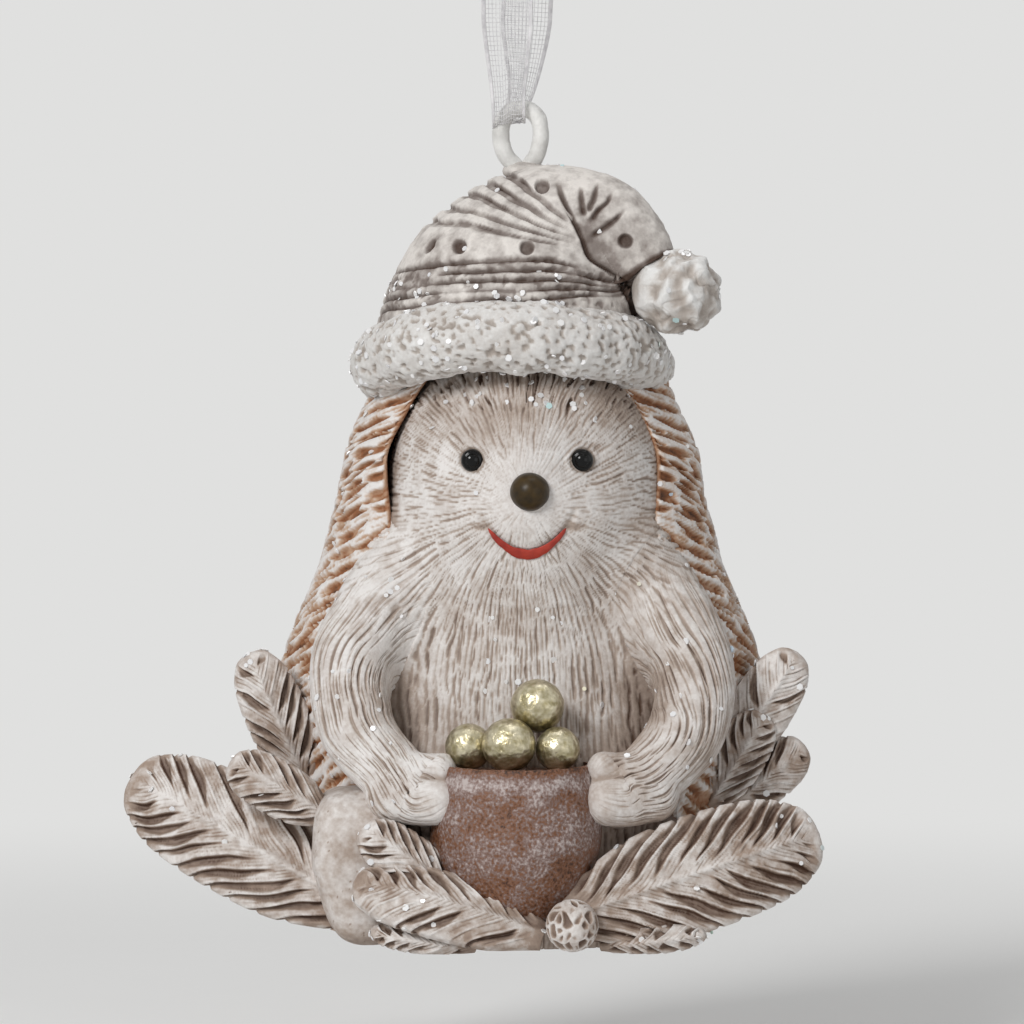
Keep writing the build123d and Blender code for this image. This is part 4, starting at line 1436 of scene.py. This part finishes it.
def make_arm(name, side, material):
    rows, columns = grids["arm"]
    path, radii = arm_line(side, rows)
    skin = tube_skin(path, rounded(path, radii), columns)
    flowed_together(skin, "arm", body_forms, body_blend)
    share = np.linspace(0, 1, rows)[:, None] * np.ones((1, columns))
    run = share * arm_run
    turn = np.linspace(0, 1, columns, endpoint=False)[None, :] * np.ones((rows, 1))
    turn = turn + arm_wave * (np.sin(run * arm_wave_turn) + skin.grain("arm_bend"))
    cuts = {}
    for kind, (lanes, shift, length, seed, fill, thin) in arm_cuts.items():
        cuts[kind] = lane_grooves(turn * lanes + shift, run / length, seed + side, fill, thin)
    to_paw = (1 - paw_plainness * over(share, "to_paw")) * over(share, "paw_end")
    below = over(share, "below_shoulder")
    carved = to_paw * np.maximum(cuts["wide"], fine_cut_share * cuts["fine"])
    groove = (1 - below) * fur(skin.points) + below * carved
    cut = below * to_paw * cuts["dark"]
    clefts = finger_clefts(skin.points) * over(share, "paw_clefts")
    skin.carve("arm", groove=groove, cut=cut, clefts=clefts, lumps=below * skin.grain("arm_lumps"))
    # Painted shade on the arm's inner side by the chest, and on the underside of the forearm
    inward = -side * (skin.x() - path[:, None, 0])
    inside = over(inward, "arm_inside") * over(share, "inside_start") * over(share, "inside_end")
    shade = over(np.abs(share - arm_shade_middle), "arm_shade")
    shade_under_arm = shade * over(path[:, None, 2] - skin.z(), "arm_under")
    skin.paint(
        "arm", groove=groove, cut=cut, clefts=clefts, inside=inside, smudges=smudges(skin), under=shade_under_arm,
    )
    add_piece(name + "_cast", [skin], material, name)
    count, seed = sprinkles["arm"]
    sprinkle(skin, count, seed + side, over(share, "arm_glitter") + arm_glitter_least)


def make_foot(material):
    skin = ball_skin(foot_middle, foot_radii, "foot")
    local = (skin.points - foot_middle) / foot_radii
    square = np.sum(np.abs(local) ** foot_squareness, axis=-1) ** (1 / foot_squareness)
    skin.points = foot_middle + local / square[..., None] * foot_radii
    skin.points[..., 0] += foot_lean * np.clip(foot_middle[2] - skin.z(), 0, None)
    skin.points[..., 2] = np.maximum(skin.points[..., 2], foot_base)
    pins = over(cells(skin.points, foot_pin_pitch, foot_pin_seed)[0], "foot_pin")
    pins = pins * (skin.grain("foot_clearing") > foot_pin_clearing)
    skin.carve("foot", pins=pins, lumps=skin.grain("foot_lumps"), fine=skin.grain("foot_fine"))
    # Painted shade: darker towards the bottom, and on the side that faces the middle of the figure
    skin.paint(
        "foot", pins=pins, patches=skin.grain("foot_patches"), specks=skin.grain("foot_specks"),
        low=over(skin.z(), "foot_low"), right=over(skin.x(), "foot_right"),
    )
    add_piece("foot_cast", [skin], material, "left_foot")


def make_band(material):
    rows, columns = grids["band"]
    around = np.linspace(-np.pi, np.pi, rows, endpoint=False)[:, None]
    tube = np.linspace(0, 2 * np.pi, columns, endpoint=False)[None, :]
    ring = band_ring + band_radius * np.cos(tube)
    x, y, z = ring * np.sin(around), -ring * np.cos(around), band_radius * np.sin(tube) * np.ones_like(around)
    turned_y = y * math.cos(band_tilt) + z * math.sin(band_tilt)
    turned_z = z * math.cos(band_tilt) - y * math.sin(band_tilt)
    points = band_middle + np.stack([x, turned_y, turned_z], -1)
    skin = Skin(np.concatenate([points, points[:1]]), around=True)
    knobs = cells(skin.points, band_knob_pitch, band_knob_seed)[0]
    rough = skin.grain("band_rough")
    pits = over(rough + band_knob_share * (knobs - band_knob_level), "band_pits")
    marks = {"pits": pits, "knobs": knobs, "lumps": skin.grain("band_lumps")}
    skin.carve("band", **marks)
    skin.paint("band", **marks)
    add_piece("fur_band", [skin], material, "hat_band")
    sprinkle(skin, *sprinkles["band"])


def crease_x(height):
    """The x of the fold between the hat and its tip, down from the top."""
    line = smooth(crease_points, crease_rows)
    return np.interp(height, line[:, 0], line[:, 1])


def hat_pleats(skin):
    """The pleats of the crown, as hollows between round ridges and thin cuts beside them."""
    aside, rise = skin.x() - fan_point[0], skin.z() - fan_point[1]
    reach = np.hypot(aside, rise)
    angle = np.degrees(np.arctan2(rise, aside)) + pleat_wander * skin.grain("pleat_wander")
    lane = np.interp(angle, pleat_angles, range(len(pleat_angles)))
    lane = lane + pleat_lane_wander * skin.grain("pleat_lane")
    number = np.round(lane)
    luck = chance(number, 0, pleat_seed)
    edge, floor = (least + more * luck for least, more in (pleat_edge, pleat_floor))
    hollow = ramp(np.abs(lane - number), edge, floor)
    cut_strength = np.clip(pleat_cut_strength + pleat_cut_noise * skin.grain("pleat_cut"), 0, 1)
    cut = peak(lane - number, "pleat_cut") * cut_strength
    first, last = pleat_angles[0], pleat_angles[-1]
    ends = ramp(angle, first + pleat_first_end[0], first + pleat_first_end[1])
    ends = ends * ramp(angle, last, last - pleat_last_end)
    left_of_fold = over(crease_x(skin.z()) - skin.x(), "beside_fold")
    on_hat = ends * left_of_fold * over(skin.y(), "pleat_back") * over(reach, "pleat_root")
    return hollow * on_hat, cut * on_hat * over(reach, "pleat_cut_root")


def hat_fold(skin):
    """The dark line of the fold, and the shade on the tip beside it."""
    beside = skin.x() - crease_x(skin.z()) + fold_wander * skin.grain("fold_wander")
    there = over(skin.z(), "fold_low") * over(skin.z(), "fold_top") * (skin.y() < 0)
    shade = bell(np.clip(beside - fold_shade_start, 0, None), fold_shade_width)
    shade = shade * over(beside, "fold_shade_edge") * over(skin.z(), "fold_shade_top")
    return peak(beside, "fold") * there, shade * there


def hat_gathers(skin):
    """Short puckers that spread over the tip, each thickest near the fold."""
    wander = np.stack([skin.grain("gather_x"), skin.grain("gather_z")], -1)
    place = skin.points[..., [0, 2]] + gather_wander * wander
    thickest, thinning, thinnest = gather_taper
    pucker = np.zeros_like(skin.wash_and_shade)
    for start, end in gathers:
        way = np.subtract(end, start)
        reach = np.linalg.norm(way)
        share = (place - start) @ way / reach ** 2
        across = (place - start) @ np.array([-way[1], way[0]]) / reach
        thick = gather_width * np.clip(thickest - thinning * share, thinnest, 1.0)
        mark = bell(across, thick) * over(share, "gather_start") * over(share, "gather_end")
        pucker = np.maximum(pucker, mark)
    return pucker * (skin.y() < 0)


def hat_dots(skin):
    """The drilled dots, those in front by x and height and the others by their turn round the crown."""
    dots = np.zeros_like(skin.wash_and_shade)
    for x, height in front_dots:
        gap = np.hypot(skin.x() - x, skin.z() - height)
        dots = np.maximum(dots, over(gap - dot_radius, "dot_edge") * (skin.y() < 0))
    turn = np.arctan2(skin.x() - band_middle[0], skin.y())
    for degrees in side_dot_turns:
        gap = np.hypot((turn - math.radians(degrees)) * dot_ring, skin.z() - dot_height)
        dots = np.maximum(dots, over(gap - dot_radius, "dot_edge"))
    return dots


def hat_paint(skin):
    """Carves and paints the pleats, puckers, fold and dots that run over the crown and the tip alike."""
    hollow, cut = hat_pleats(skin)
    fold, shade = hat_fold(skin)
    marks = {
        "hollow": hollow, "cut": cut, "pucker": hat_gathers(skin), "fold": fold, "shade": shade,
        "dots": hat_dots(skin), "bumps": skin.grain("hat_bumps"),
    }
    skin.carve("hat", **marks)
    skin.paint("hat", **marks, patches=skin.grain("hat_patches"))


def knit_marks(skin, lane, drawn_in):
    """The knitted lines round the crown, and a thin cut beside each."""
    knit, cut = np.zeros_like(lane), np.zeros_like(lane)
    for line in range(knit_lines):
        uneven = knit_strength_noise * skin.grain("knit_strength", line)
        strength = np.clip(knit_strength + uneven, knit_faintest, 1)
        cut_strength = np.clip(strength * knit_cut_gain - knit_cut_loss, 0, 1)
        apart = (lane - knit_start - knit_pitch * line) * drawn_in
        knit = np.maximum(knit, peak(apart, "knit") * strength)
        cut = np.maximum(cut, peak(apart, "knit_cut") * cut_strength)
    return knit, cut


def make_crown(material):
    rows, columns = grids["crown"]
    up, wide, lean = np.hsplit(smooth(crown_shares, rows), 3)
    angles = front_dense(columns, crown_evenness)
    x = band_middle[0] + crown_lean * lean + crown_half_width * wide * np.sin(angles)
    y = -crown_half_depth * wide * np.cos(angles)
    z = crown_base + crown_rise * up * np.ones_like(angles)
    skin = Skin(np.stack([x, y, z], -1), around=True, capped=True)
    flowed_together(skin, "crown", hat_forms, hat_blend)
    local = skin.points - band_middle
    above_band = local[..., 2] * math.cos(band_tilt) + local[..., 1] * math.sin(band_tilt)
    skin.points[..., 2] += np.clip(crown_over_band - above_band, 0, None)
    rise = (skin.z() - crown_base) * math.cos(knit_tilt) + skin.y() * math.sin(knit_tilt)
    rise = rise + knit_wander * skin.grain("knit_wander")
    drawn_in = 1 - knit_drawn_in * over(skin.x(), "knit_side") * over(skin.y(), "knit_front")
    lane = knit_end + (rise - knit_end) / drawn_in
    knit, cut = knit_marks(skin, lane, drawn_in)
    on_knit = ramp(knit_start + knit_pitch * knit_lines - knit_top - lane, 0, knit_fade)
    worn = over(skin.grain("knit_worn"), "knit_worn") * on_knit
    skin.paint("knit", on_knit=on_knit, worn=worn, knit=knit, cut=cut)
    skin.carve("knit", knit=knit, cut=cut, worn=worn)
    hat_paint(skin)
    add_piece("hat", [skin], material, "hat_crown")
    where = (over(rise, "hat_glitter") + hat_glitter_least) * (skin.x() < hat_glitter_side)
    sprinkle(skin, *sprinkles["hat"], where)


def make_tip(material):
    rows, columns = grids["tip"]
    path = smooth(tip_points, rows)
    skin = tube_skin(path, rounded(path, smooth_values(tip_radii, rows), end=False), columns)
    flowed_together(skin, "tip", hat_forms, hat_blend)
    share = np.linspace(0, 1, rows)[:, None] * np.ones((1, columns))
    # Darker towards the tip's outer end, and painted shade at its very end, where it goes into the pompom
    skin.paint("tip", outer=over(share, "tip_outer"), end=over(share, "tip_end"))
    hat_paint(skin)
    add_piece("hat_fold", [skin], material, "hat_tip")
    sprinkle(skin, *sprinkles["tip"])


def make_pompom(material):
    """A ball with a smooth side towards the hat, chiselled and creased on the other."""
    skin = ball_skin(pompom_middle, pompom_radius, "pompom")
    local = skin.points - pompom_middle
    bent = wandered(local, ("pompom_x", "pompom_y", "pompom_z"), pompom_wander)
    draw = np.random.default_rng(pompom_facet_seed)
    facets = unit(draw.normal(size=(pompom_facets, 3)))
    flat = np.full(skin.wash_and_shade.shape, pompom_radius)
    for way, height_share in zip(facets, draw.uniform(*pompom_facet_shares, pompom_facets)):
        reach = np.clip(bent @ way, pompom_least_reach, None)
        flat = np.minimum(flat, height_share * pompom_radius ** 2 / reach)
    rough = over(local[..., [0, 2]] @ np.array(pompom_rough_way), "pompom_rough")
    cut = (pompom_radius - flat) * at_least(pompom_smooth_side, rough)
    crease = peak(grain(bent, "pompom_crease"), "pompom_crease") * rough
    scuff = grain(bent, "pompom_scuff") * rough
    skin.carve("pompom", cut=cut, crease=crease, scuff=scuff)
    # Painted shade where the pompom sits against the hat, and on its underside
    seat = over(local[..., [0, 2]] @ np.array(pompom_seat_way), "pompom_seat")
    low = over(-local[..., 2], "pompom_low")
    skin.paint("pompom", facets=over(cut, "pompom_facet"), crease=crease, scuff=scuff, seat=seat, low=low)
    add_piece("pompom_ball", [skin], material, "pompom")
    sprinkle(skin, *sprinkles["pompom"])


def make_eyelet(material, collar_material):
    rows, columns = grids["eyelet"]
    x, y = eyelet_middle
    line = smooth([(x + aside, y, height) for aside, height in eyelet_line], rows)
    skin = tube_skin(line, rounded(line, np.full(rows, eye_wire_radius)), columns)
    skin.carve("eyelet", lumps=skin.grain("wire_lumps"), fine=skin.grain("wire_fine"))
    skin.paint("eyelet", patches=skin.grain("wire_patches"))
    add_piece("eyelet_wire", [skin], material, "eyelet")
    collar = ball_skin(collar_middle, collar_radii, "collar")
    collar.carve("collar", lumps=collar.grain("collar_lumps"), fine=collar.grain("collar_fine"))
    collar.paint("collar", patches=collar.grain("collar_patches"))
    add_piece("eyelet_bead", [collar], collar_material, "eyelet_collar")


def make_bowl(material):
    rows, columns = grids["bowl"]
    profile = smooth(bowl_profile, rows)
    angles = np.linspace(-np.pi, np.pi, columns, endpoint=False)[None, :]
    radius = np.clip(profile[:, :1], bowl_least_radius, None)
    x = bowl_middle[0] + radius * np.sin(angles)
    y = bowl_middle[1] - radius * np.cos(angles)
    skin = Skin(np.stack([x, y, profile[:, 1:] * np.ones_like(angles)], -1), around=True, capped=True)
    dents = skin.grain("bowl_dents")
    fine = skin.grain("bowl_fine")
    skin.carve("bowl", dents=dents, fine=fine)
    # A paler band round the outside below the rim, partly its own paint and partly a painted highlight;
    # painted shade at the top inside the rim, under the berries, and low down the bowl
    rim = peak(skin.z(), "bowl_rim") * (radius > bowl_rim_radius)
    inside, low = over(skin.z(), "bowl_inside"), over(skin.z(), "bowl_low")
    skin.paint("bowl", dents=dents, fine=fine, rim=rim, inside=inside, low=low)
    add_piece("bowl_cast", [skin], material, "bowl")


def make_berry(name, middle, radius, seed, material):
    skin = ball_skin(middle, radius, "berry")
    crumple = skin.grain("berry_crumple", seed)
    skin.carve("berry", crumple=crumple)
    # The lower half darkened in patches: partly dark paint showing through the rubbed leaf, partly painted
    # shade on the underside
    patches = over(-skin.grain("berry_patches", seed), "berry_patches")
    skin.paint("berry", crumple=crumple, under=over(middle[2] - skin.z(), "berry_low") * patches)
    add_piece(name + "_leafed", [skin], material, name)


def frond_ways(angles):
    """Which way a frond runs, which way is across it, and which way it faces."""
    heading, lean, facing = (math.radians(angle) for angle in angles)
    out = np.array([math.cos(heading) * math.cos(lean), -math.sin(lean), math.sin(heading) * math.cos(lean)])
    face = np.array([0, -math.cos(facing), math.sin(facing)])
    across = unit(np.cross(face, out))
    normal = np.cross(out, across)
    return out, across, normal * np.sign(normal @ face)


def frond_marks(along, out_share, upper, half_width, length, cover, seed):
    """A frond's carving: long hollows between barbs, the walls and ridges beside them, and fine streaks."""
    pitch = barb_pitch + barb_pitch_growth * length
    spot_parts = (along * length / barb_spot_pitch, barb_spot_aside * out_share, upper)
    spot = np.stack(np.broadcast_arrays(*spot_parts), -1).astype(float)
    slanted = along * length - barb_slant * np.abs(out_share) * half_width
    barb = slanted / pitch + barb_offset * upper + barb_wander * grain(spot, "barb", seed)
    out_share = np.abs(out_share)
    number = np.floor(barb)
    part = barb - number
    luck = chance(number, upper, seed)
    carved = chance(number, upper, seed + barb_carve_seed) < np.where(upper, cover[1], cover[0])
    start = hollow_start + hollow_start_chance * luck
    ends = over(along, "frond_tip") * over(along, "frond_root")
    lens = ramp(out_share, start, start + hollow_start_fade) * ends
    widening = ramp(out_share, start, start + hollow_widening) ** hollow_widening_power
    taper = widening * at_least(hollow_mouth, over(out_share, "barb_mouth"))
    lip = 1 - (hollow_reach + hollow_reach_chance * (1 - luck)) * taper
    hollow = ramp(part, lip - hollow_edge, lip + hollow_edge) * over(part, "barb_end") * lens * carved
    wall = over(part, "wall_start") * over(part, "wall_end") * lens * carved
    lane = barb * pitch / streak_pitch + streak_shift
    step = out_share * half_width / streak_length
    streak = lane_grooves(lane, step, seed + barb_streak_seed, streak_fill, streak_width)
    streak = streak * ends * over(out_share, "streak_end")
    return hollow, wall, peak(part, "barb_ridge") * lens, streak


def make_frond(name, root, size, angles, cover, seed, material):
    """A leaf with a raised rib and barbs carved along both sides, each with a long hollow before the next."""
    length, width = size
    out, across, normal = frond_ways(angles)
    rows = max(int(length * frond_rows_per_mm), frond_fewest_rows)
    outline = smooth(frond_outline_shares, rows)
    along = np.clip(outline[:, :1], 0, 1)
    wide = np.clip(outline[:, 1:], frond_least_width, None)
    even = np.linspace(0, 2 * np.pi, frond_columns, endpoint=False)[None, :]
    ring = even + frond_middle_columns * np.sin(2 * even)
    aside, facing = np.cos(ring), np.sin(ring)
    half_width = wide * width / 2
    upper = aside * across[2] > 0
    hollow, wall, ridge, streak = frond_marks(along, aside, upper, half_width, length, cover, seed)
    rib = peak(aside * half_width, "rib") * over(along, "rib_tip") * (facing > 0)
    edge = 1 - scallop_share * hollow * over(np.abs(aside), "frond_scallop")
    thick = frond_thickness / 2 * (frond_thin_end + frond_thick_share * wide) * over(wide, "frond_thin")
    lift = np.sign(facing) * np.abs(facing) ** frond_roundness * thick
    bow = frond_bow_share * length * along * (1 - along)
    middle = np.asarray(root) + out * (along * length) + normal * bow
    points = middle[:, None] + across * (aside * half_width * edge)[..., None] + normal * lift[..., None]
    skin = Skin(points, around=True, capped=True)
    to_front = at_least(frond_back_share, over(facing, "frond_face"))
    room = np.clip(np.abs(lift) / frond_full_lift, 0, 1) * to_front
    rough = skin.grain("frond_rough", seed)
    marks = {"hollow": hollow, "ridge": ridge, "streak": streak, "rib": rib, "rough": rough}
    skin.carve("frond", **{mark: field * room for mark, field in marks.items()})
    skin.points[..., 2] = np.maximum(skin.points[..., 2], frond_base)
    # The steep wall at the deep end of each hollow is darker, partly wash pooled there and partly painted
    # shade on that wall; the root is darker with painted shade where the frond goes in under the bowl and the
    # figure
    skin.paint(
        "frond", hollow=hollow, wall=wall, ridge=ridge, rib=rib,
        streak=streak * at_least(streak_outside, hollow), root=over(along, "frond_dark_root"),
        patches=skin.grain("frond_patches", seed), specks=skin.grain("frond_specks", seed),
    )
    add_piece(name + "_cast", [skin], material, name)
    sprinkle(skin, int(frond_flakes_per_mm * length), seed + frond_sprinkle_seed)


def make_cone(material):
    skin = ball_skin(cone_middle, cone_radius, "cone")
    bent = wandered(skin.points - cone_middle, ("cone_x", "cone_y", "cone_z"), cone_wander)
    nearest, second, luck = cells(bent * cone_cell_stretch, cone_cell, cone_cell_seed)
    hollow = over(second - nearest, "cone_net") * at_least(cone_hollow_least, luck)
    skin.carve("cone", hollow=hollow)
    skin.points[..., 2] = np.maximum(skin.points[..., 2], cone_base)
    skin.paint("cone", hollow=hollow, patches=skin.grain("cone_patches"))
    add_piece("cone_cast", [skin], material, "seed_cone")


def make_glitter(material):
    """Small six-sided flakes stuck on at many angles."""
    draw = np.random.default_rng(flake_seed)
    points, normals = (np.concatenate(rows) for rows in zip(*glitter_spots))
    count = len(points)
    facing = unit(normals + draw.normal(0, flake_tilt, (count, 3)))
    side = unit(np.cross(facing, flake_guide))
    up = np.cross(facing, side)
    radius = draw.uniform(*flake_radii, count)
    corner = np.arange(flake_corners)
    turn = (corner * 2 * np.pi / flake_corners)[None, :, None]
    ring = side[:, None] * np.cos(turn) + up[:, None] * np.sin(turn)
    seat = points + normals * flake_seat
    front = seat[:, None] + ring * radius[:, None, None] + facing[:, None] * flake_thickness
    rear_side = front - facing[:, None] * 2 * flake_thickness
    vertices = np.concatenate([front, rear_side], axis=1).reshape(-1, 3)
    first = np.arange(count)[:, None] * 2 * flake_corners
    after = (corner + 1) % flake_corners
    tops = (first + corner).tolist()
    bottoms = (first + 2 * flake_corners - 1 - corner).tolist()
    side_corners = np.stack([corner, corner + flake_corners, after + flake_corners, after], -1)
    sides = (first[:, None] + side_corners[None]).reshape(-1, 4).tolist()
    piece = add_mesh("glitter", to_frame(vertices), tops + bottoms + sides, material)
    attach(piece, "figure")


def background_rays(tree):
    """One for the rays that show the background, and zero for those that light things."""
    rays = tree.nodes.new("ShaderNodeLightPath").outputs
    seen = rays["Is Camera Ray"]
    for name in ("Is Glossy Ray", "Is Transmission Ray"):
        larger = tree.nodes.new("ShaderNodeMath")
        larger.operation = "MAXIMUM"
        tree.links.new(seen, larger.inputs[0])
        tree.links.new(rays[name], larger.inputs[1])
        seen = larger.outputs[0]
    return seen


def make_stage():
    """A pale round floor that keeps the figure's shadow and fades into the pale background."""
    turns = np.linspace(0, 2 * np.pi, floor_corners, endpoint=False)
    level = np.full(turns.shape, floor_height)
    corners = np.stack([floor_radius * np.cos(turns), floor_radius * np.sin(turns), level], -1)
    finish = Finish("floor_paper")
    finish.wear(finish.grain(floor_grain), floor_stops)
    finish.gloss(roughness=0.9, specular=0.1)
    away = finish.add("ShaderNodeVectorMath", [(0, finish.place)], operation="LENGTH").outputs["Value"]
    edges = {"From Min": floor_fade[0] * mm, "From Max": floor_fade[1] * mm}
    fade = finish.add("ShaderNodeMapRange", [("Value", away)], interpolation_type="SMOOTHSTEP", **edges)
    glow = finish.add("ShaderNodeEmission", Color=linear(background)).outputs["Emission"]
    share = finish.sums("MULTIPLY", fade.outputs["Result"], background_rays(finish.tree))
    mixed = finish.add("ShaderNodeMixShader", [(0, share), (1, finish.shader.outputs["BSDF"]), (2, glow)])
    finish.tree.links.new(mixed.outputs["Shader"], finish.tree.nodes["Material Output"].inputs["Surface"])
    piece = add_mesh("floor", corners * mm, [range(len(turns))], finish.material)


def make_world():
    """Soft light from all round, with a pale background where it is seen."""
    world = bpy.data.worlds.new("studio")
    world.use_nodes = True
    tree = world.node_tree
    light = tree.nodes["Background"]
    light.inputs["Color"].default_value = (1, 1, 1, 1)
    light.inputs["Strength"].default_value = world_light
    paper = tree.nodes.new("ShaderNodeBackground")
    paper.inputs["Color"].default_value = linear(background)
    mixed = tree.nodes.new("ShaderNodeMixShader")
    tree.links.new(background_rays(tree), mixed.inputs[0])
    tree.links.new(light.outputs["Background"], mixed.inputs[1])
    tree.links.new(paper.outputs["Background"], mixed.inputs[2])
    tree.links.new(mixed.outputs["Shader"], tree.nodes["World Output"].inputs["Surface"])
    bpy.context.scene.world = world


def make_lights():
    target = to_frame(light_target)
    for name, place, size, power in lamps:
        data = bpy.data.lights.new(name, "AREA")
        data.shape = "DISK"
        data.size = size
        data.energy = power
        lamp = bpy.data.objects.new(name, data)
        lamp.location = target + np.array(place)
        x, y, z = place
        lamp.rotation_euler = (math.acos(z / np.linalg.norm(place)), 0, math.atan2(y, x) + math.pi / 2)
        bpy.context.scene.collection.objects.link(lamp)


def main():
    make_camera()
    sheer = organza()
    front_nodes, back_nodes = ["ribbon_front_leg", "ribbon_bight"], ["ribbon_back_leg"]
    make_ribbon_leg("ribbon_front", front_route, front_eye_width, -1, sheer, front_nodes)
    make_ribbon_leg("ribbon_back", back_route, back_eye_width, 1, sheer, back_nodes)
    make_knot(sheer)
    make_tails(sheer)

    paint = {name: painted(name) for name in paints}
    black, olive = bead("black_bead"), bead("olive_bead")
    make_torso(paint["fur_paint"])
    make_head(paint["fur_paint"])
    make_eye("left_eye", -1, black)
    make_eye("right_eye", 1, black)
    make_nose(olive)
    make_mouth(paint["red_paint"])
    make_coat(paint["spine_paint"])
    make_arm("left_arm", -1, paint["fur_paint"])
    make_arm("right_arm", 1, paint["fur_paint"])
    make_foot(paint["fur_paint"])
    make_band(paint["white_fur_paint"])
    make_crown(paint["hat_paint"])
    make_tip(paint["hat_paint"])
    make_pompom(paint["white_fur_paint"])
    make_eyelet(paint["white_wire"], paint["hat_paint"])
    make_bowl(bowl_paint())
    gold = gold_leaf()
    for number, (name, (middle, radius)) in enumerate(berries.items()):
        make_berry(name, middle, radius, berry_seed + number, gold)
    for number, (name, (root, size, angles, cover)) in enumerate(fronds.items()):
        seed = frond_seed + frond_seed_step * number
        make_frond(name, root, size, angles, cover, seed, paint["frond_paint"])
    make_cone(paint["frond_paint"])
    make_glitter(glitter_flakes())
    make_stage()
    make_world()
    make_lights()
    bpy.context.scene.view_settings.view_transform = "Standard"


main()
